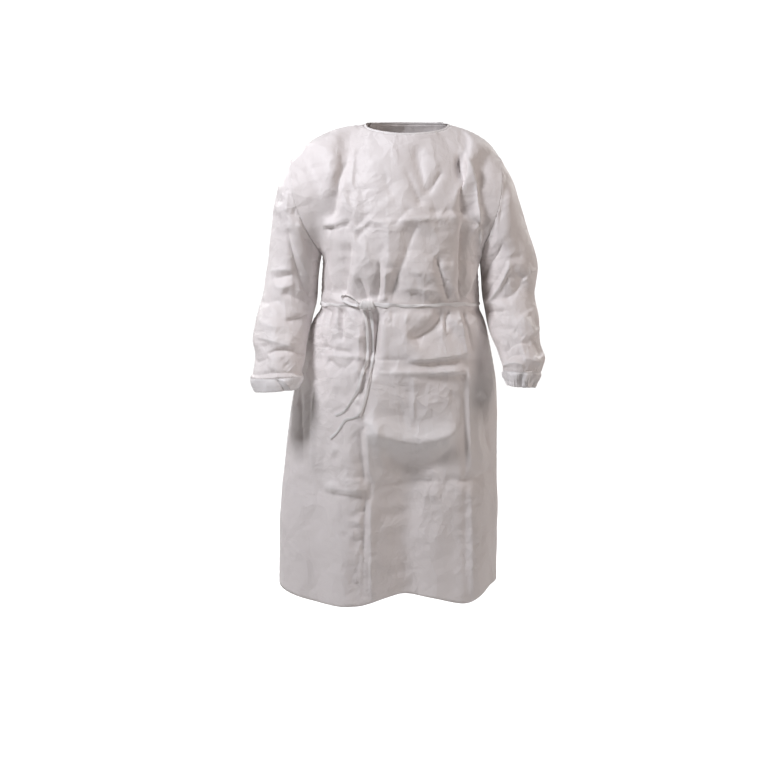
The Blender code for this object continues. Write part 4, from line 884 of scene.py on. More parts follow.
class GownSizes(bpy.types.PropertyGroup):
    """Sizes that a user may change without touching the form."""
    cloth: number_setting("Cloth", "Thickness of the nonwoven cloth", 0.0006, "LENGTH")
    tape: number_setting("Neck tape", "Height of the folded tape round the neck", BINDING_HEIGHT, "LENGTH")
    strap: number_setting("Strap", "Width of the belt's strap", BELT_HEIGHT, "LENGTH")
    tie: number_setting("Tie ends", "Width of the belt's hanging ends", TAIL_WIDTH, "LENGTH")
    thread: number_setting("Thread", "Thickness of the sewing thread", 0.00045, "LENGTH")
    stitch: number_setting("Stitch", "Distance from one stitch to the next", 0.0038, "LENGTH")


class GownColours(bpy.types.PropertyGroup):
    """Colours of the cloth, the thread and the floor."""
    cloth: colour_setting("Cloth", "Colour of the cloth in the light", (0.85, 0.80, 0.775))
    cool: colour_setting("Cool tint", "Colour that the cloth drifts to in patches", (0.83, 0.795, 0.815))
    trim: colour_setting("Trim", "Colour of the tape, the cuffs and the belt", (0.90, 0.88, 0.87))
    thread: colour_setting("Thread", "Colour of the sewing thread", (0.84, 0.83, 0.82))
    floor: colour_setting("Floor", "Colour of the floor", (0.90, 0.90, 0.90))


class GownLight(bpy.types.PropertyGroup):
    """Strength of the studio's lamps and of the light from all round."""
    key: number_setting("Key", "Lamp in front, left and high", 39.0, "POWER")
    fill: number_setting("Fill", "Lamp at the right", 12.0, "POWER")
    back: number_setting("Back", "Lamps behind, for the back and the edges", 30.0, "POWER")
    around: number_setting("Around", "Light from all round", 0.095, "NONE")


class Socket:
    """A number that comes out of a material's nodes. Arithmetic on it adds Math nodes."""

    def __init__(self, finish, output):
        self.finish = finish
        self.output = output

    def _math(self, operation, first, second):
        return self.finish.node("ShaderNodeMath", {"operation": operation}, {0: first, 1: second})

    def __add__(self, other):
        return self._math("ADD", self, other)

    def __radd__(self, other):
        return self._math("ADD", other, self)

    def __sub__(self, other):
        return self._math("SUBTRACT", self, other)

    def __rsub__(self, other):
        return self._math("SUBTRACT", other, self)

    def __mul__(self, other):
        return self._math("MULTIPLY", self, other)

    def __rmul__(self, other):
        return self._math("MULTIPLY", other, self)

    def __pow__(self, other):
        return self._math("POWER", self, other)


class Finish:
    """A material whose nodes are added one call at a time."""

    def __init__(self, name):
        self.material = bpy.data.materials.new(name)
        self.material.use_nodes = True
        self.tree = self.material.node_tree
        self.shader = self.tree.nodes["Principled BSDF"]

    def node(self, kind, settings=None, inputs=None, output=0):
        """Add a node: first its settings, then its sockets' values or links. Gives one output."""
        made = self.tree.nodes.new(kind)
        for key, value in (settings or {}).items():
            setattr(made, key, value)
        for key, value in (inputs or {}).items():
            self.feed(made.inputs[key], value)
        return Socket(self, made.outputs[output])

    def feed(self, target, value):
        """Link an output to an input, or set the input's own value."""
        if isinstance(value, Socket):
            self.tree.links.new(value.output, target)
        else:
            target.default_value = value

    def blend(self, factor, one, other):
        """A colour between two colours."""
        mix = self.tree.nodes.new("ShaderNodeMix")
        mix.data_type = "RGBA"
        self.feed(mix.inputs["Factor"], factor)
        self.feed(mix.inputs["A"], one)
        self.feed(mix.inputs["B"], other)
        return Socket(self, mix.outputs["Result"])

    def cells(self, place, scale, uneven):
        """Distance to the nearest cell's middle along the axes: flat facets with sharp creases."""
        return self.node("ShaderNodeTexVoronoi", {"feature": "F1", "distance": "MANHATTAN"},
                         {"Vector": place, "Scale": scale, "Randomness": uneven}, output="Distance")

    def borders(self, place, scale, width):
        """1 on the borders between cells, down to 0 at a width in metres from them."""
        away = self.node("ShaderNodeTexVoronoi", {"feature": "DISTANCE_TO_EDGE"},
                         {"Vector": place, "Scale": scale, "Randomness": 1.0}, output="Distance")
        return self.node("ShaderNodeMath", {"operation": "MAXIMUM"},
                         {0: 1.0 - away * (1.0 / (scale * width)), 1: 0.0})

    def set(self, **values):
        """Set or link the shader's sockets; an underscore in a key stands for a space."""
        for key, value in values.items():
            self.feed(self.shader.inputs[key.replace("_", " ")], value)


def solid(colour):
    """A colour with full cover."""
    return (*colour, 1.0)


def nonwoven(name, colour, cool, crumple, sheen=0.10):
    """Spunbonded cloth: cloudy fibre density, fine fibres, pressed bond points, crease ridges painted
    lighter with their height (a painted highlight on the raised cloth, and partly the whitening of creased
    nonwoven), and flat fields between sharp fine creases, which are the borders of warped cells in two
    sizes. Fibres and points follow the cloth's own map in metres, and heights are metres."""
    finish = Finish(name)
    place = finish.node("ShaderNodeTexCoord", output="Object")
    flat = finish.node("ShaderNodeTexCoord", output="UV")
    drift = finish.node("ShaderNodeTexNoise", {}, {"Vector": place, "Scale": 3.1, "Detail": 2.0})
    cloud = finish.node("ShaderNodeTexNoise", {}, {"Vector": flat, "Scale": 150.0, "Detail": 4.0,
                                                   "Roughness": 0.62})
    along = finish.node("ShaderNodeMapping", {}, {"Vector": flat, "Scale": (1.0, 5.0, 1.0)})
    fibre = finish.node("ShaderNodeTexNoise", {}, {"Vector": along, "Scale": 620.0, "Detail": 3.0})
    points = finish.cells(flat, 560.0, 0.15)
    wander = finish.node("ShaderNodeTexNoise", {}, {"Vector": place, "Scale": 9.0, "Detail": 2.0},
                         output="Color")
    pushed = finish.node("ShaderNodeVectorMath", {"operation": "MULTIPLY_ADD"},
                         {0: wander, 1: (0.07, 0.07, 0.07), 2: place})
    upright = finish.node("ShaderNodeMapping", {}, {"Vector": pushed, "Scale": (1.0, 1.0, 0.6),
                                                      "Rotation": (0.45, 0.30, 0.25)})
    patchy = finish.node("ShaderNodeTexNoise", {}, {"Vector": place, "Scale": 7.0, "Detail": 1.0})
    uneven = patchy * patchy * 3.0
    plates = (finish.cells(upright, 12.0, 1.0) * (0.085 / 12.0)
              + finish.cells(pushed, 34.0, 1.0) * uneven * (0.075 / 34.0))
    creases = finish.borders(pushed, 30.0, 0.0014) * uneven * 0.00030
    crest = finish.node("ShaderNodeAttribute", {"attribute_name": "crest"}, output="Fac")
    tinted = finish.blend(drift, solid(colour), solid(cool))
    density = 0.5 + (cloud - 0.5) * 0.30 + (fibre - 0.5) * 0.12
    shade = finish.blend(density, solid([0.93 * part for part in colour]),
                         solid([min(1.0, 1.05 * part) for part in colour]))
    mixed = finish.blend(0.5, tinted, shade)
    # Crease ridges, by their crest value, are painted lighter: a painted highlight on the raised cloth, and
    # partly the whitening of creased nonwoven.
    white = finish.blend(crest, mixed, solid((0.90, 0.885, 0.88)))
    height = (fibre * 0.10 + cloud * 0.22 + points * 0.16) * 0.0003
    fine = finish.node("ShaderNodeBump", {}, {"Height": height, "Distance": 1.0, "Strength": 0.6},
                       output="Normal")
    crumpled = finish.node("ShaderNodeBump", {}, {"Height": plates + creases, "Distance": 1.0,
                                                  "Strength": crumple, "Normal": fine}, output="Normal")
    finish.set(Base_Color=white, Roughness=0.50 + (cloud - 0.5) * 0.2, Normal=crumpled, Metallic=0.0)
    finish.set(Sheen_Weight=sheen, Sheen_Roughness=0.5, Specular_IOR_Level=0.36)
    return finish.material


def twisted_thread(name, colour):
    """Sewing thread: a fine slanting twist, with painted shade in its grooves."""
    finish = Finish(name)
    place = finish.node("ShaderNodeTexCoord", output="Object")
    twist = finish.node("ShaderNodeTexNoise", {}, {"Vector": place, "Scale": 2400.0, "Detail": 1.0})
    # The colour is darker where the twist's bumps are low: painted shade in the grooves of the twist.
    shade = finish.blend(twist, solid([0.8 * part for part in colour]), solid(colour))
    bump = finish.node("ShaderNodeBump", {}, {"Height": twist, "Distance": 0.0001, "Strength": 0.6},
                       output="Normal")
    finish.set(Base_Color=shade, Roughness=0.6, Normal=bump)
    return finish.material


@functools.lru_cache(maxsize=None)
def finish_of(kind):
    """The material of one kind, made once."""
    colours = bpy.context.scene.gown_colours
    if kind == "thread":
        return twisted_thread("white_thread", colours.thread)
    if kind == "cloth":
        return nonwoven("nonwoven_cloth", colours.cloth, colours.cool, 0.9)
    if kind == "cuff":
        return nonwoven("gathered_cuff_cloth", colours.trim, colours.cool, 1.0)
    if kind == "tape":
        return nonwoven("neck_tape", colours.trim, colours.cloth, 0.4)
    return nonwoven("belt_cloth", colours.trim, colours.trim, 0.35, 0.18)


def spline_weights(count, at):
    """Weights that put a natural cubic spline through evenly numbered points, at the places asked.
    Each stretch is a cubic: the straight line plus both ends' bends, each times its own cubic."""
    system, pull = np.eye(count), np.zeros((count, count))
    for row in range(1, count - 1):
        system[row, row - 1:row + 2] = (1, 4, 1)
        pull[row, row - 1:row + 2] = (6, -12, 6)
    bend = np.linalg.solve(system, pull)
    place = np.clip(np.floor(at).astype(int), 0, count - 2)
    t = (at - place)[:, None]
    line = (1 - t) * np.eye(count)[place] + t * np.eye(count)[place + 1]
    return line + ((1 - t)**3 - (1 - t)) / 6 * bend[place] + (t**3 - t) / 6 * bend[place + 1]


def crease_height(sharps, x, z):
    """Sum of the creases' heights. Across its bowed line each is a tent with a rounded crest that
    dies away sooner on one side than on the other. Along it, height and reach grow or shrink
    together from the start's share to the end's, and the height fades near both ends."""
    height = np.zeros(np.shape(x))
    for x0, z0, x1, z1, bow, right, left, depth, start, end in zip(*sharps.values()):
        inside, across, past = beside_line(x0, z0, x1, z1, bow, x, z)
        off = np.sqrt(across**2 + past**2 + CREST**2) - CREST
        size = start + (end - start) * inside
        reach = np.where(across > 0, right, left) * size
        fade = ease(inside * 5 + 0.1) * ease((1 - inside) * 5 + 0.1)
        height += depth * size * fade * np.exp(-off / reach)
    return height


def crinkle_rows(crinkles):
    """Rows of short uneven creases at places drawn from each row's own seed."""
    rows = []
    for seed, count, left, right, low, high, length, depth in zip(*crinkles.values()):
        draw = np.random.default_rng(int(seed))
        for _ in range(int(count)):
            x, z = draw.uniform(left, right), draw.uniform(low, high)
            turn = draw.normal(0, 0.75) + (0 if draw.random() < 0.55 else math.pi / 2)
            reach = length * draw.uniform(0.35, 1.0) / 2
            size = depth * draw.uniform(0.4, 1.0) * draw.choice((-1, 1))
            rows.append((x - reach * math.cos(turn), z - reach * math.sin(turn),
                         x + reach * math.cos(turn), z + reach * math.sin(turn),
                         draw.normal(0, 0.12) * reach, draw.uniform(0.004, 0.020),
                         draw.uniform(0.004, 0.020), size, draw.uniform(0.4, 1), 1.0))
    return table(CREASE_COLUMNS, rows)


def fine_surface(coarse, back, rows_at):
    """The form's grid made finer by cubic splines both ways, with its top edge put exactly on the
    armhole, shoulder and neck lines."""
    rows, columns = coarse.shape[:2]
    columns_at = np.linspace(0, columns - 1, (columns - 1) * FINE + 1)
    grid = np.tensordot(spline_weights(rows, rows_at), coarse, 1)
    grid = np.einsum("cj,rjk->rck", spline_weights(columns, columns_at), grid)
    miss = top_edge(back, FINE) - grid[-1]
    return grid + miss * ease((rows_at - rows + 3) / 2)[:, None, None], columns_at


def softened(troughs):
    """The form's folds with the narrow ones made shallow, for the creases to take their place."""
    share = np.where(troughs["width"] < NARROW_FOLD, NARROW_SHARE, 1.0)
    return {**troughs, "depth": troughs["depth"] * share}


def seam_dip(distance, along):
    """Height near a seam: a narrow groove, and puckers whose size follows two uneven waves."""
    waves = np.sin(along * (2 * math.pi / PUCKER_PITCH) + 1.7 * np.sin(along * 41))
    waves = waves * (0.6 + 0.4 * np.sin(along * 87 + 1))
    return (-GROOVE_DEPTH * np.exp(-(distance / GROOVE_WIDTH)**2)
            + PUCKER_DEPTH * waves * np.exp(-(distance / PUCKER_WIDTH)**2))


def slow_swell(x, z):
    """Broad soft unevenness of hanging cloth: three crossing waves of uneven lengths."""
    return (0.0010 * np.sin(31 * x + 7 * z + 0.4) * np.sin(13 * z + 5 * x)
            + 0.0008 * np.sin(47 * x - 23 * z + 1.3) + 0.0005 * np.sin(19 * x + 61 * z + 2.1))


def arc_map(grid):
    """The cloth's own map in metres: lengths across each row and up each column."""
    across = np.linalg.norm(np.diff(grid, axis=1), axis=-1)
    up = np.linalg.norm(np.diff(grid, axis=0), axis=-1)
    u = np.concatenate((np.zeros((grid.shape[0], 1)), np.cumsum(across, axis=1)), axis=1)
    v = np.concatenate((np.zeros((1, grid.shape[1])), np.cumsum(up, axis=0)))
    return np.stack((u - u.mean(axis=1, keepdims=True), v), axis=-1)


def dressed_panel(grid, normals, rows_at, columns_at, troughs, sharps, crinkles):
    """A panel's fine grid with folds, creases, crinkles, swell and seam puckers, and the height of
    its creases alone."""
    rows, columns = rows_at[-1], columns_at[-1]
    x, z = grid[..., 0], grid[..., 2]
    to_side = np.minimum(columns_at, columns - columns_at)
    to_top = rows - rows_at
    hold = ease(to_side / 4)[None, :] * ease(to_top / 2)[:, None]
    near = ease(to_side / 1.2)[None, :] * ease(to_top / 0.8)[:, None]
    belt = belt_hold(z)
    crisp = crease_height(sharps, x, z) + crease_height(crinkles, x, z)
    height = fold_height(softened(troughs), x, z) * hold * belt
    strap = 1 - 0.9 * np.exp(-(np.maximum(np.abs(z - BELT_Z) - STRAP_CLEAR, 0) / 0.005)**2)
    height += (CREASE_GAIN * crisp * strap + slow_swell(x, z) * belt) * near
    flat = arc_map(grid)
    side_gap = np.minimum(flat[..., 0] - flat[:, :1, 0], flat[:, -1:, 0] - flat[..., 0])
    top_gap = flat[-1:, :, 1] - flat[..., 1]
    height += seam_dip(side_gap, flat[..., 1]) * ease(to_top / 1.0)[:, None]
    height += seam_dip(top_gap, flat[-1:, :, 0])
    return grid + normals * height[..., None], crisp


def fine_rows(coarse):
    """Where the fine rows lie among the form's rows: evenly spaced up the cloth, closer together
    above the plain lower skirt."""
    run = np.linalg.norm(np.diff(coarse, axis=0), axis=-1).mean(axis=1)
    up = summed(run)
    fine = np.linspace(0, up[-1], LEVEL_SAMPLES)
    level = np.interp(fine, up, coarse[..., 2].mean(axis=1))
    spacing = LOW_SPACING + (HIGH_SPACING - LOW_SPACING) * ease((level - LOW_LEVEL) / 0.08)
    passed = summed(np.diff(fine) / spacing[1:])
    stations = np.interp(np.linspace(0, passed[-1], round(passed[-1]) + 1), passed, fine)
    return np.interp(stations, up, np.arange(len(up)))


@functools.lru_cache(maxsize=1)
def body_cloth():
    """Front and back cloth at their fine grids: points, normals, crease heights and where the rows
    and columns lie in the form."""
    coarse_front, coarse_back = base_surface(False), base_surface(True)
    rows_at = fine_rows(coarse_front)
    front, front_at = fine_surface(coarse_front, False, rows_at)
    back, back_at = fine_surface(coarse_back, True, rows_at)
    front_normals, back_normals = joined_normals(front, back)
    crinkles = crinkle_rows(BODY_CRINKLES)
    extra = back_gathers()
    back_folds = {name: np.concatenate((BACK_FOLDS[name], extra[name])) for name in extra}
    front_out, front_crest = dressed_panel(front, front_normals, rows_at, front_at, FRONT_FOLDS,
                                           FRONT_CREASES, crinkles)
    mirrored = {name: column * (-1 if name in ("x0", "x1") else 1) for name, column in crinkles.items()}
    back_out, back_crest = dressed_panel(back, back_normals, rows_at, back_at, back_folds,
                                         BACK_CREASES, mirrored)
    return {"front": front_out, "front_normals": front_normals, "front_crest": front_crest,
            "back": back_out, "back_normals": back_normals, "back_crest": back_crest,
            "rows_at": rows_at, "front_at": front_at, "back_at": back_at}


def joined_normals(front, back):
    """Normals of front and back taken round the whole body, alike where the two are sewn."""
    loop = np.concatenate((front, back[:, ::-1][:, 1:-1]), axis=1)
    normals = grid_normals(loop, True)
    columns = front.shape[1]
    front_normals = normals[:, :columns].copy()
    rear = normals[:, columns:][:, ::-1]
    back_normals = np.concatenate((normals[:, :1], rear, front_normals[:, -1:]), axis=1)
    seam = np.arange(ARMHOLE_STEPS * FINE, (ARMHOLE_STEPS + SHOULDER_STEPS) * FINE + 1)
    for picks in (seam, -1 - seam):
        shared = unit(front_normals[-1, picks] + back_normals[-1, picks])
        front_normals[-1, picks] = shared
        back_normals[-1, picks] = shared
    return front_normals, back_normals


def grid_mesh(name, points, closed, flat=None, crest=None):
    """A mesh of a grid's quads, the way round that faces out, with its map and its crest values."""
    rows, columns = points.shape[:2]
    wide = columns + 1 if closed else columns
    corner = np.stack(np.meshgrid(np.arange(rows - 1), np.arange(wide - 1), indexing="ij"), -1).reshape(-1, 2)
    steps = ((0, 0), (0, 1), (1, 1), (1, 0))
    row = np.stack([corner[:, 0] + down for down, _ in steps], axis=1)
    column = np.stack([corner[:, 1] + over for _, over in steps], axis=1)
    faces = row * columns + column % columns
    mesh = bpy.data.meshes.new(name)
    mesh.from_pydata(points.reshape(-1, 3), [], faces.tolist())
    if flat is not None:
        layer = mesh.uv_layers.new(name="cloth")
        layer.data.foreach_set("uv", flat[row, column].astype(np.float32).ravel())
    # The crest attribute says how far each point is painted lighter: a painted highlight on crease ridges,
    # and partly the whitening of creased nonwoven.
    if crest is not None:
        values = mesh.attributes.new("crest", "FLOAT", "POINT")
        white = np.clip(crest * RIDGE_HIGHLIGHT_AND_WHITENING_RATE, 0, RIDGE_HIGHLIGHT_AND_WHITENING_MOST)
        values.data.foreach_set("value", white.astype(np.float32).ravel())
    mesh.shade_smooth()
    return mesh


def show(mesh, kind, slot_name, *nodes):
    """Put a finished mesh in the scene, on the gown's one body, for the solids it stands for."""
    piece = bpy.data.objects.new(mesh.name, mesh)
    bpy.context.scene.collection.objects.link(piece)
    mesh.materials.append(finish_of(kind))
    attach(piece, BODY)
    if nodes:
        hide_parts(*nodes)
    return piece


def thicken(piece):
    """Give a cloth surface its thickness, inwards, with closed rims."""
    wall = piece.modifiers.new("thickness", "SOLIDIFY")
    wall.thickness = bpy.context.scene.gown_sizes.cloth
    wall.offset = -1.0
    return piece


def make_front():
    """The front: one panel from side seam to side seam."""
    cloth = body_cloth()
    mesh = grid_mesh("front_cloth", cloth["front"], False, arc_map(cloth["front"]), cloth["front_crest"])
    piece = thicken(show(mesh, "cloth", "nonwoven_cloth", "front_panel"))


def lap_ramp(at):
    """0 to 1 over the intervals in which the outer back half lifts off towards the lap."""
    return ease((at - (at[-1] / 2 - LAP_STEPS - LAP_RAMP_STEPS)) / LAP_RAMP_STEPS)


def back_half(outer):
    """Points, map and crests of one back half. The outer one rises over the lap by an eased step."""
    cloth = body_cloth()
    at, centre = cloth["back_at"], cloth["back_at"][-1] / 2
    if outer:
        rise = SCENE_LAP_LIFT * lap_ramp(at)
        picks = at <= centre + LAP_STEPS + 1e-6
    else:
        rise = 0 * at
        picks = at >= centre - LAP_STEPS - 1e-6
    points = cloth["back"] + cloth["back_normals"] * rise[None, :, None]
    way = slice(None, None, -1)
    return points[:, picks][:, way], cloth["back_crest"][:, picks][:, way]


def make_backs():
    """Both back halves; the outer one lies on the inner one down the middle."""
    for name, outer in (("back_panel_left", True), ("back_panel_right", False)):
        points, crest = back_half(outer)
        mesh = grid_mesh(name.replace("panel", "cloth"), points, False, arc_map(points), crest)
        piece = thicken(show(mesh, "cloth", "nonwoven_cloth", name))


def sleeve_frame(sleeve, rows, turns, swell):
    """A sleeve's rings at the given rows and turns, with outward normals and a height added."""
    side = math.copysign(1, sleeve["out_x"][0])
    grid = np.stack([sleeve_ring(sleeve, np.full(turns.shape, row), turns) for row in rows])
    normals = -side * grid_normals(grid, True)
    return grid + normals * swell[..., None], normals


def sleeve_cloth(sleeve, troughs, sharps):
    """A sleeve's fine grid with folds, creases and crinkles on both faces and puckers at both ends."""
    turns = np.arange(2 * ARMHOLE_STEPS * SLEEVE_FINE) * math.pi / (ARMHOLE_STEPS * SLEEVE_FINE)
    rows = np.linspace(0, CUFF_ROW, SLEEVE_ROWS)
    plain, normals = sleeve_frame(sleeve, rows, turns, np.zeros((len(rows), len(turns))))
    x, z = plain[..., 0], plain[..., 2]
    hold = (ease(rows / 1.5) * ease((CUFF_ROW - rows) / 1.0))[:, None]
    near = (ease(rows / 0.5) * ease((CUFF_ROW - rows) / 0.4))[:, None]
    crinkles = crinkle_rows(SLEEVE_CRINKLES)
    soft, crisp = np.zeros(x.shape), np.zeros(x.shape)
    for face in (-1, 1):
        facing = np.clip(-np.sin(turns) * face, 0, 1)
        soft += fold_height(softened(troughs[face]), x, z) * (facing > 0) * np.abs(np.sin(turns))**0.5
        sharp = crease_height(sharps[face], x, z)
        sharp += crease_height(crinkles, x + CRINKLE_SHIFT[0] * face, z + CRINKLE_SHIFT[1] * face)
        crisp += sharp * ease(facing * 3)
    height = soft * hold + (SLEEVE_CREASE_GAIN * crisp + slow_swell(x * 1.7, z * 1.3)) * near
    down = summed(np.linalg.norm(np.diff(plain, axis=0), axis=-1).mean(axis=1))
    around = turns * np.linalg.norm(np.diff(plain[0], axis=0), axis=-1).mean() / (turns[1] - turns[0])
    height += seam_dip(down[:, None], around[None, :])
    height += seam_dip((down[-1] - down)[:, None], around[None, :]) * CUFF_SEAM_PUCKER
    return plain + normals * height[..., None], normals, crisp


def tube_map(grid):
    """The map of a closed grid, one column wider than the grid."""
    return arc_map(np.concatenate((grid, grid[:, :1]), axis=1))


def facing_out(sleeve, *grids):
    """Right sleeves run the other way round, so their columns are turned over."""
    if sleeve["out_x"][0] > 0:
        return [grid[:, ::-1] for grid in grids]
    return list(grids)


@functools.lru_cache(maxsize=2)
def sleeve_of(side):
    """One sleeve's fine points, normals and crest heights."""
    for name, sleeve, troughs, sharps in SLEEVES:
        if name == side:
            return sleeve_cloth(sleeve, troughs, sharps)


def make_sleeves():
    """Both sleeves, from the armhole to the cuff's seam."""
    for side, sleeve, _, _ in SLEEVES:
        points, _, crest = sleeve_of(side)
        points, crest = facing_out(sleeve, points, crest)
        mesh = grid_mesh("sleeve_cloth_" + side, points, True, tube_map(points), crest)
        piece = thicken(show(mesh, "cloth", "nonwoven_cloth", "sleeve_" + side))


def cuff_cloth(side, sleeve):
    """A cuff's fine grid: broad gathers, sharp uneven gathers pinched under two elastic lines, a
    leaning tuck on the flatter cuff, and an end that turns in and runs back inside."""
    broad, broad_count, fine, fine_count, tuck, pinched = CUFF_LOOKS[side]
    turns = np.arange(2 * ARMHOLE_STEPS * SLEEVE_FINE * 2) * math.pi / (ARMHOLE_STEPS * SLEEVE_FINE * 2)
    rows = np.linspace(CUFF_ROW, CUFF_ROW + 1, CUFF_ROWS)
    part = (rows - CUFF_ROW)[:, None]
    wander = turns + 0.16 * np.sin(3 * turns + 1) + 0.09 * np.sin(7 * turns + 2)
    wander = wander + 0.13 * part * np.sin(5 * turns)
    gathers = np.cos(broad_count * wander) * broad
    wave = np.cos(fine_count * wander + 1.2 * np.sin(4 * part + 3 * turns))
    pleats = (1 - 2 * np.abs(wave)**0.7) * fine * (0.55 + 0.45 * np.sin(9 * turns + 5 * part))
    pinch = np.exp(-((part - 0.10) / 0.06)**2) + np.exp(-((part - 0.72) / 0.08)**2)
    swell = np.sin(math.pi * part) * 0.0022
    plain, outward = sleeve_frame(sleeve, rows, turns, part * 0)
    across = (plain[..., 0] - plain[..., 0].min()) / np.ptp(plain[..., 0])
    off = across - TUCK_PLACE - TUCK_LEAN * (part - 0.5)
    twisted = tuck * (np.exp(-np.abs(off) / 0.045) - 1.5 * np.exp(-np.abs(off + 0.10) / 0.03))
    twisted = twisted * ease(-2 * outward[..., 1])
    height = (gathers + pleats + twisted) * ease(part * 3) + swell - pinched * pinch
    points, normals = sleeve_frame(sleeve, rows, turns, height)
    inner = points[-6:-1][::-1] - normals[-6:-1][::-1] * 0.0018
    return np.concatenate((points, inner))


def make_cuffs():
    """Both gathered cuffs."""
    for side, sleeve, _, _ in SLEEVES:
        (points,) = facing_out(sleeve, cuff_cloth(side, sleeve))
        mesh = grid_mesh("cuff_cloth_" + side, points, True, tube_map(points))
        piece = thicken(show(mesh, "cuff", "cuff_cloth", "cuff_" + side))
        "sleeve_" + side


def neck_line_path():
    """The neck edge from the outer half's end round the front to the inner half's end: points,
    the wall's directions and the directions on past the edge."""
    cloth = body_cloth()
    first = (ARMHOLE_STEPS + SHOULDER_STEPS) * FINE
    centre = first + BACK_NECK_STEPS * FINE // 2
    lap = LAP_STEPS * FINE
    lift = SCENE_LAP_LIFT * lap_ramp(cloth["back_at"])
    lifted = cloth["back"] + cloth["back_normals"] * lift[None, :, None]
    front_picks = np.arange(first, first + FRONT_NECK_STEPS * FINE + 1)
    left_picks = np.arange(centre + lap, first, -1)
    right_picks = np.arange(first + BACK_NECK_STEPS * FINE - 1, centre - lap - 1, -1)
    edge, inside = (np.concatenate((lifted[row, left_picks], cloth["front"][row, front_picks],
                                    cloth["back"][row, right_picks])) for row in (-1, -4))
    normals = np.concatenate((cloth["back_normals"][-1, left_picks], cloth["front_normals"][-1, front_picks],
                              cloth["back_normals"][-1, right_picks]))
    onward = unit(edge - inside)
    for _ in range(NECK_EVENING_PASSES * FINE * FINE):
        for line in (onward, normals):
            line[1:-1] = unit(2 * line[1:-1] + line[:-2] + line[2:])
    onward = unit(onward - normals * np.sum(onward * normals, axis=-1, keepdims=True))
    return edge, normals, onward


def ring_mesh(name, rings, closed_path=False):
    """A mesh of outline rings along a path, capped at both ends or joined into a loop."""
    if closed_path:
        rings = np.concatenate((rings, rings[:1]))
    count, around = rings.shape[:2]
    flat = tube_map(rings)
    if closed_path:
        rings = rings[:-1]
        count -= 1
    number = np.arange(count * around).reshape(count, around)
    wrap = np.concatenate((number, number[:, :1]), axis=1)
    if closed_path:
        wrap = np.concatenate((wrap, wrap[:1]))
    quads = np.stack((wrap[:-1, :-1], wrap[:-1, 1:], wrap[1:, 1:], wrap[1:, :-1]), -1).reshape(-1, 4)
    faces = quads.tolist()
    if not closed_path:
        faces += [number[0, ::-1].tolist(), number[-1].tolist()]
    mesh = bpy.data.meshes.new(name)
    mesh.from_pydata(rings.reshape(-1, 3), [], faces)
    layer = mesh.uv_layers.new(name="cloth")
    corner = np.stack((flat[:-1, :-1], flat[:-1, 1:], flat[1:, 1:], flat[1:, :-1]), 2).reshape(-1, 2)
    spare = np.zeros((len(mesh.loops) - len(corner), 2))
    layer.data.foreach_set("uv", np.concatenate((corner, spare)).astype(np.float32).ravel())
    mesh.shade_smooth()
    return mesh


def make_neck_tape():
    """Tape folded over the neck edge: a rounded strip whose lower half grips the cloth."""
    height = bpy.context.scene.gown_sizes.tape
    edge, normals, onward = neck_line_path()
    turn = np.linspace(0, 2 * math.pi, 18, endpoint=False)
    along = run_along(edge)
    out = np.sign(np.cos(turn)) * np.abs(np.cos(turn))**0.6
    up = np.sign(np.sin(turn)) * np.abs(np.sin(turn))**0.5
    pucker = 0.00022 * np.sin(along * 2 * math.pi / 0.0062 + 1.3 * np.sin(along * 57))[:, None] * np.cos(turn)
    waver = 0.0004 * np.sin(along * 63 + 1)[:, None]
    across = out * 0.00060 + pucker - 0.0003
    rise = (up + 1) / 2 * height - 0.0010 + waver * (up > 0)
    rings = edge[:, None] + normals[:, None] * across[..., None] + onward[:, None] * rise[..., None]
    piece = show(ring_mesh("neck_tape_cloth", rings[:, ::-1]), "tape", "neck_tape", "neck_binding")


def wrapped(line):
    """A closed line with two of its points added past each end, for even slopes where it joins."""
    return np.concatenate((line[-2:], line, line[:2]))


def strap_rings(path, facing, width, thickness, twist=0.0, crease=0.0004, around=16):
    """Rings of a soft flat strap along a path: a flattened oval with lengthwise creases, turned
    about the path by twist. Width, thickness and twist may change along it."""
    along = unit(np.gradient(path, axis=0))
    across = unit(np.cross(along, facing))
    normal = unit(np.cross(across, along))
    twist = np.broadcast_to(twist, len(path))[:, None]
    across, normal = (across * np.cos(twist) + normal * np.sin(twist),
                      normal * np.cos(twist) - across * np.sin(twist))
    turn = np.linspace(0, 2 * math.pi, around, endpoint=False)
    half = np.broadcast_to(width, len(path))[:, None] / 2
    thick = np.broadcast_to(thickness, len(path))[:, None] / 2
    run = run_along(path)[:, None]
    side = np.cos(turn)
    sag = crease * np.cos(math.pi * (1.6 * side + 0.7 * np.sin(run * 70) + 0.4))
    lift = np.sin(turn) * thick * (1 - 0.35 * side**4) + sag
    return path[:, None] + across[:, None] * (half * side)[..., None] + normal[:, None] * lift[..., None]


@functools.lru_cache(maxsize=1)
def front_tree():
    """The front cloth as a search tree, to lay things on it."""
    points = body_cloth()["front"]
    mesh = grid_mesh("search", points, False)
    faces = [tuple(face.vertices) for face in mesh.polygons]
    tree = BVHTree.FromPolygons(points.reshape(-1, 3).tolist(), faces)
    bpy.data.meshes.remove(mesh)
    return tree


def on_front(x, z):
    """Depth of the front cloth at places seen from the front."""
    tree = front_tree()
    start, way = -0.5, Vector((0, 1, 0))
    return np.array([tree.ray_cast(Vector((a, start, b)), way)[0].y for a, b in zip(x, z)])


def eased_line(values, passes):
    """A line of numbers with its small jumps evened out."""
    for _ in range(passes):
        values[1:-1] = np.minimum(values[1:-1], (2 * values[1:-1] + values[:-2] + values[2:]) / 4)
    return values


def route_path(route, count):
    """A smooth route over the front through its rows. It hangs on the form's lift and never sinks
    into the cloth under it."""
    knots = np.arange(len(route["x"]), dtype=float)
    at = np.linspace(0, knots[-1], count)
    x, z, lift = (smooth(at, knots, route[name]) for name in ROUTE_COLUMNS.split())
    depth = eased_line(on_front(x, z) - np.minimum(lift, ROUTE_LIFT), 6)
    return np.stack((x, depth, z), axis=-1)


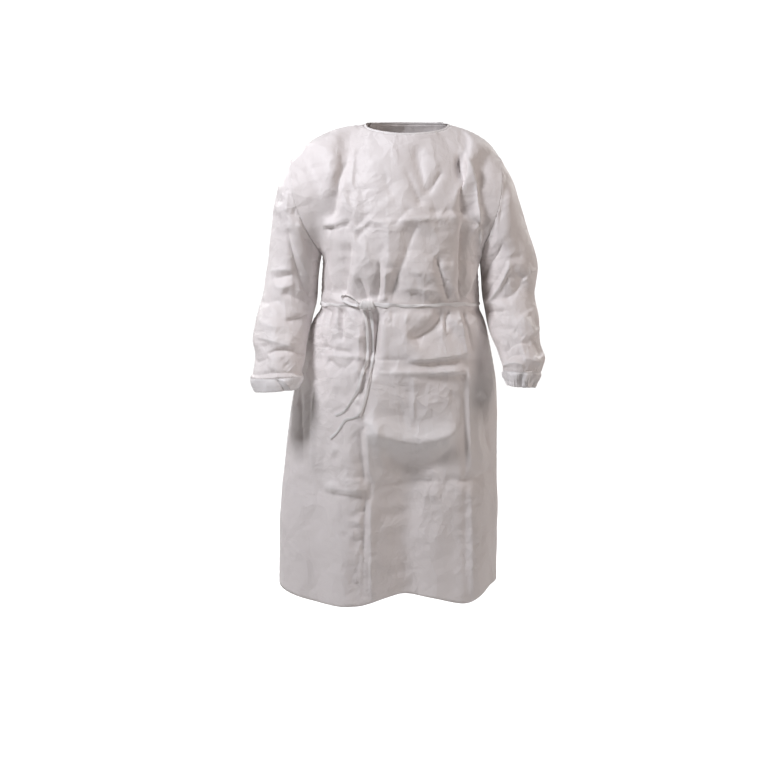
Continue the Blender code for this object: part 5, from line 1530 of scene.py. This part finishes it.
def make_belt_ends():
    """Both free ends of the belt: soft straps that hang from the knot and turn here and there."""
    width = bpy.context.scene.gown_sizes.tie
    for name, node, route, phase in TIE_ENDS:
        path = route_path(route, TIE_END_STATIONS)
        share = np.linspace(0, 1, TIE_END_STATIONS)
        turned = 0.30 * np.sin(share * 9 + phase) + 0.9 * np.exp(-((share - 0.45) / 0.05)**2)
        narrow = width * (0.92 - 0.20 * np.sin(share * 13 + phase)**2)
        path[:, 1] -= np.abs(np.sin(turned)) * narrow * 0.4
        rings = strap_rings(path, (0.0, -1.0, 0.0), narrow, 0.0013, turned, 0.00015)
        piece = show(ring_mesh(name, rings), "belt", "belt_cloth", node)


def belt_line():
    """The belt's line round the waist on the cloth, and its outward directions."""
    cloth = body_cloth()
    row = int(np.argmin(np.abs(cloth["rows_at"] - (BELT_LOW_ROW + BELT_HIGH_ROW) / 2)))
    back = cloth["back"] + cloth["back_normals"] * lap_rise(cloth["back_at"])[None, :, None]
    front_line, back_line = cloth["front"][row], back[row, ::-1][1:-1]
    normals = np.concatenate((cloth["front_normals"][row], cloth["back_normals"][row, ::-1][1:-1]))
    line = np.concatenate((front_line, back_line))
    return line, normals


def lap_rise(at):
    """Lift of the belt over the lap: up on the outer half and down past its edge."""
    down = ease((at - (at[-1] / 2 + LAP_STEPS + 0.5)) / 2)
    return SCENE_LAP_LIFT * lap_ramp(at) * (1 - down)


def make_belt():
    """The belt's round: one soft strap on the waist, creased along and turned over in places."""
    width = bpy.context.scene.gown_sizes.strap
    line, normals = belt_line()
    count = len(line)
    share = np.arange(count) / count * 2 * math.pi
    wide = width * (0.74 + 0.16 * np.sin(5 * share + 1) + 0.12 * np.sin(17 * share + 2))
    twist = 0.30 * np.sin(7 * share) + 0.26 * np.sin(23 * share + 1)
    path = line + normals * 0.0016
    path[:, 2] += 0.0014 * np.sin(5 * share + 2) + 0.0009 * np.sin(17 * share)
    closed, facing, wide, twist = (wrapped(part) for part in (path, normals, wide, twist))
    rings = strap_rings(closed, facing, wide, 0.0016, twist, 0.0002)[2:-2]
    piece = show(ring_mesh("belt_strap", rings, True), "belt", "belt_cloth", "belt")


def make_knot():
    """The knot: turns of strap wound round each other, each an oval loop across the belt."""
    depth = on_front(np.array(KNOT[:1]), np.array(KNOT[1:]))[0]
    rings = []
    for x, z, deep, high, lean, width in zip(*KNOT_TURNS.values()):
        turn = np.linspace(0, 2 * math.pi, 40, endpoint=False)
        path = np.stack((x + lean * high * np.cos(turn), depth - KNOT_LIFT - deep * np.sin(turn),
                         z + high * np.cos(turn)), axis=-1)
        outward = path - (x, depth - KNOT_LIFT, z)
        looped, facing = wrapped(path), wrapped(outward)
        wide = width * (1 + 0.12 * np.sin(np.linspace(0, 9, len(looped))))
        rings.append(strap_rings(looped, facing, wide, 0.0020, 0.1, 0.0006, 14)[2:-2])
    meshes = [ring_mesh("belt_knot_turns", ring, True) for ring in rings]
    knot = join_meshes("belt_knot_turns", meshes)
    show(knot, "belt", "belt_cloth", "belt_knot")
    path = route_path(LOOP_ROUTE, 90)
    path[:, 1] -= LOOP_LIFT
    share = np.linspace(0, 1, len(path))
    wide = LOOP_WIDTH * (1 - 0.15 * np.sin(share * 8))
    rings = strap_rings(path, (0.0, -1.0, 0.0), wide, 0.0013, 0.9 + 0.5 * np.sin(share * 5), 0.0005)
    loop = show(ring_mesh("belt_bow_loop", rings), "belt", "belt_cloth", "belt_loop")


def join_meshes(name, meshes):
    """One mesh of several, with their maps kept."""
    objects = [bpy.data.objects.new(mesh.name, mesh) for mesh in meshes]
    for each in objects:
        bpy.context.scene.collection.objects.link(each)
    with bpy.context.temp_override(active_object=objects[0], selected_editable_objects=objects):
        bpy.ops.object.join()
    joined = objects[0].data
    bpy.data.objects.remove(objects[0])
    joined.name = name
    return joined


def stitch_meshes(name, lines):
    """Stitches along lines of points with normals: each a small arched capsule of thread that
    dips into the cloth at both ends. All their corners are worked out as one array."""
    sizes = bpy.context.scene.gown_sizes
    pitch, radius = sizes.stitch, sizes.thread / 2
    centres, ways, ups = [], [], []
    for points, normals in lines:
        run = run_along(points)
        at = np.arange(pitch / 2, run[-1], pitch)
        place = np.stack([np.interp(at, run, points[:, axis]) for axis in range(3)], axis=-1)
        up = unit(np.stack([np.interp(at, run, normals[:, axis]) for axis in range(3)], axis=-1))
        ahead = np.stack([np.interp(at + pitch / 4, run, points[:, axis]) for axis in range(3)], axis=-1)
        centres.append(place)
        ways.append(unit(ahead - place + 1e-9))
        ups.append(up)
    centre, way, up = (np.concatenate(part) for part in (centres, ways, ups))
    side = unit(np.cross(way, up))
    along = np.array((-0.36, -0.26, 0.0, 0.26, 0.36)) * pitch
    rise = np.array((-0.6, 0.55, 0.9, 0.55, -0.6)) * radius
    girth = np.array((0.35, 0.9, 1.0, 0.9, 0.35)) * radius
    turn = np.linspace(0, 2 * math.pi, 6, endpoint=False)
    ring = (along[:, None, None] * way[:, None, None]
            + (rise[:, None] + girth[:, None] * np.sin(turn))[..., None] * up[:, None, None]
            + (girth[:, None] * np.cos(turn))[..., None] * side[:, None, None])
    points = centre[:, None, None] + ring
    count, rings, around = points.shape[:3]
    number = np.arange(rings * around).reshape(rings, around)
    wrap = np.concatenate((number, number[:, :1]), axis=1)
    quads = np.stack((wrap[:-1, :-1], wrap[1:, :-1], wrap[1:, 1:], wrap[:-1, 1:]), -1).reshape(-1, 4)
    first = np.arange(count)[:, None, None] * rings * around
    faces = (quads[None] + first).reshape(-1, 4).tolist()
    faces += (number[0][None] + first[:, 0]).tolist() + (number[-1][::-1][None] + first[:, 0]).tolist()
    mesh = bpy.data.meshes.new(name)
    mesh.from_pydata(points.reshape(-1, 3), [], faces)
    mesh.shade_smooth()
    return mesh


def make_stitching():
    """Rows of stitches beside the shoulder, armhole and side seams, on the tape and at the cuffs."""
    cloth = body_cloth()
    arm, seam = ARMHOLE_STEPS * FINE, (ARMHOLE_STEPS + SHOULDER_STEPS) * FINE
    front, back = cloth["front"], cloth["back"]
    front_up, back_up = cloth["front_normals"], cloth["back_normals"]
    lines = []
    for grid, up in ((front, front_up), (back, back_up)):
        lines += [(grid[-2, :arm + 1], up[-2, :arm + 1]), (grid[-2, -arm - 1:], up[-2, -arm - 1:])]
    lines += [(front[-2, arm:seam + 1], front_up[-2, arm:seam + 1]),
              (front[-2, -seam - 1:-arm], front_up[-2, -seam - 1:-arm]),
              (front[:, 1], front_up[:, 1]), (front[:, -2], front_up[:, -2])]
    show(stitch_meshes("body_stitching", lines), "thread", "nonwoven_cloth")
    cuffs = []
    for side, sleeve, _, _ in SLEEVES:
        points, normals, _ = sleeve_of(side)
        cuffs.append([np.concatenate((grid[-2], grid[-2, :1])) for grid in (points, normals)])
    show(stitch_meshes("cuff_stitching", cuffs), "thread", "cuff_cloth")
    edge, normals, onward = neck_line_path()
    show(stitch_meshes("tape_stitching", [(edge + normals * 0.0005 + onward * 0.0006, normals)]),
         "thread", "neck_tape")


def lamp(name, place, aim, size, power, colour=(1.0, 1.0, 1.0)):
    """A large square lamp that looks at a point."""
    light = bpy.data.lights.new(name, "AREA")
    light.size = size
    light.energy = power
    light.color = colour
    made = bpy.data.objects.new(name, light)
    made.location = place
    made.rotation_euler = (Vector(aim) - Vector(place)).to_track_quat("-Z", "Y").to_euler()
    bpy.context.scene.collection.objects.link(made)


def make_stage():
    """The camera, the floor and a plain soft studio light."""
    scene = bpy.context.scene
    camera = bpy.data.cameras.new("camera")
    camera.sensor_fit = "HORIZONTAL"
    camera.angle = CAMERA_ANGLE
    stand = bpy.data.objects.new("camera", camera)
    stand.location = CAMERA_PLACE
    stand.rotation_euler = (math.pi / 2 - CAMERA_TILT, 0, 0)
    scene.collection.objects.link(stand)
    scene.camera = stand

    light = scene.gown_light
    middle = (-0.01, 0.0, -0.55)
    lamp("key", (-1.30, -1.12, 1.05), (-0.02, 0.0, -0.22), 0.5, light.key, (0.94, 0.945, 1.0))
    lamp("fill", (1.9, -0.75, 0.35), (0.30, 0.0, -0.24), 0.9, light.fill, (1.0, 0.90, 0.85))
    lamp("back_left", (-1.7, 1.9, 0.9), middle, 1.4, light.back)
    lamp("back_right", (1.7, 1.9, 0.9), middle, 1.4, light.back * 0.8)

    world = bpy.data.worlds.new("studio")
    world.use_nodes = True
    sky = world.node_tree.nodes["Background"]
    tone = world.node_tree.nodes.new("ShaderNodeMix")
    tone.data_type = "RGBA"
    tone.inputs["A"].default_value = (1.0, 0.88, 0.80, 1.0)
    tone.inputs["B"].default_value = (1.0, 1.0, 1.0, 1.0)
    seen = world.node_tree.nodes.new("ShaderNodeLightPath")
    strength = world.node_tree.nodes.new("ShaderNodeMapRange")
    strength.inputs["To Min"].default_value = light.around
    strength.inputs["To Max"].default_value = SEEN_BACKGROUND
    world.node_tree.links.new(seen.outputs["Is Camera Ray"], strength.inputs["Value"])
    world.node_tree.links.new(seen.outputs["Is Camera Ray"], tone.inputs["Factor"])
    world.node_tree.links.new(tone.outputs["Result"], sky.inputs["Color"])
    world.node_tree.links.new(strength.outputs["Result"], sky.inputs["Strength"])
    scene.world = world
    scene.view_settings.view_transform = "Standard"

    mesh = bpy.data.meshes.new("floor")
    reach = 30.0
    corners = [(-reach, -reach, FLOOR_LEVEL), (reach, -reach, FLOOR_LEVEL),
               (reach, reach, FLOOR_LEVEL), (-reach, reach, FLOOR_LEVEL)]
    mesh.from_pydata(corners, [], [(0, 1, 2, 3)])
    floor = bpy.data.objects.new("floor", mesh)
    scene.collection.objects.link(floor)
    finish = Finish("pale_floor")
    finish.set(Base_Color=solid(scene.gown_colours.floor), Roughness=0.9)
    by_camera = finish.node("ShaderNodeLightPath", output="Is Camera Ray")
    finish.set(Emission_Color=finish.blend(by_camera, solid((0.0, 0.0, 0.0)), solid((1.0, 1.0, 1.0))))
    finish.set(Emission_Strength=1.0)
    mesh.materials.append(finish.material)


class GOWN_OT_stage(bpy.types.Operator):
    """Set up the camera, the floor and the studio light"""
    bl_idname = "gown.stage"
    bl_label = "Stage"

    def execute(self, context):
        make_stage()
        return {"FINISHED"}


class GOWN_OT_belt_ends(bpy.types.Operator):
    """Make both hanging ends of the belt"""
    bl_idname = "gown.belt_ends"
    bl_label = "Belt ends"

    def execute(self, context):
        make_belt_ends()
        return {"FINISHED"}


class GOWN_OT_front(bpy.types.Operator):
    """Make the front panel's cloth"""
    bl_idname = "gown.front"
    bl_label = "Front"

    def execute(self, context):
        make_front()
        return {"FINISHED"}


class GOWN_OT_backs(bpy.types.Operator):
    """Make the cloth of both back halves"""
    bl_idname = "gown.backs"
    bl_label = "Back halves"

    def execute(self, context):
        make_backs()
        return {"FINISHED"}


class GOWN_OT_sleeves(bpy.types.Operator):
    """Make the cloth of both sleeves"""
    bl_idname = "gown.sleeves"
    bl_label = "Sleeves"

    def execute(self, context):
        make_sleeves()
        return {"FINISHED"}


class GOWN_OT_cuffs(bpy.types.Operator):
    """Make both gathered cuffs"""
    bl_idname = "gown.cuffs"
    bl_label = "Cuffs"

    def execute(self, context):
        make_cuffs()
        return {"FINISHED"}


class GOWN_OT_neck_tape(bpy.types.Operator):
    """Make the folded tape round the neck"""
    bl_idname = "gown.neck_tape"
    bl_label = "Neck tape"

    def execute(self, context):
        make_neck_tape()
        return {"FINISHED"}


class GOWN_OT_belt(bpy.types.Operator):
    """Make the belt's strap round the waist"""
    bl_idname = "gown.belt"
    bl_label = "Belt"

    def execute(self, context):
        make_belt()
        return {"FINISHED"}


class GOWN_OT_knot(bpy.types.Operator):
    """Make the belt's knot and its loop"""
    bl_idname = "gown.knot"
    bl_label = "Knot"

    def execute(self, context):
        make_knot()
        return {"FINISHED"}


class GOWN_OT_stitching(bpy.types.Operator):
    """Make the rows of stitches along the seams"""
    bl_idname = "gown.stitching"
    bl_label = "Stitching"

    def execute(self, context):
        make_stitching()
        return {"FINISHED"}


MAKERS = (
    GOWN_OT_stage, GOWN_OT_belt_ends, GOWN_OT_front, GOWN_OT_backs, GOWN_OT_sleeves,
    GOWN_OT_cuffs, GOWN_OT_neck_tape, GOWN_OT_belt, GOWN_OT_knot, GOWN_OT_stitching,
)
GROUPS = (("gown_sizes", GownSizes), ("gown_colours", GownColours), ("gown_light", GownLight))


class GOWN_PT_maker(bpy.types.Panel):
    """Buttons for the gown's pieces, and their sizes and colours"""
    bl_idname = "GOWN_PT_maker"
    bl_label = "Isolation Gown"
    bl_space_type = "VIEW_3D"
    bl_region_type = "UI"
    bl_category = "Gown"

    def draw(self, context):
        for maker in MAKERS:
            self.layout.operator(maker.bl_idname)
        for name, group in GROUPS:
            box = self.layout.box()
            for key in group.__annotations__:
                box.prop(getattr(context.scene, name), key)


def register():
    """Add the property groups, the operators and the panel."""
    for name, group in GROUPS:
        bpy.utils.register_class(group)
        setattr(bpy.types.Scene, name, bpy.props.PointerProperty(type=group))
    for maker in (*MAKERS, GOWN_PT_maker):
        bpy.utils.register_class(maker)


def unregister():
    """Take them away again."""
    for maker in (GOWN_PT_maker, *reversed(MAKERS)):
        bpy.utils.unregister_class(maker)
    for name, group in reversed(GROUPS):
        delattr(bpy.types.Scene, name)
        bpy.utils.unregister_class(group)


def main():
    """Make every piece in order."""
    register()
    for maker in MAKERS:
        getattr(bpy.ops.gown, maker.bl_idname.split(".")[1])()


if __name__ == "__main__":
    main()
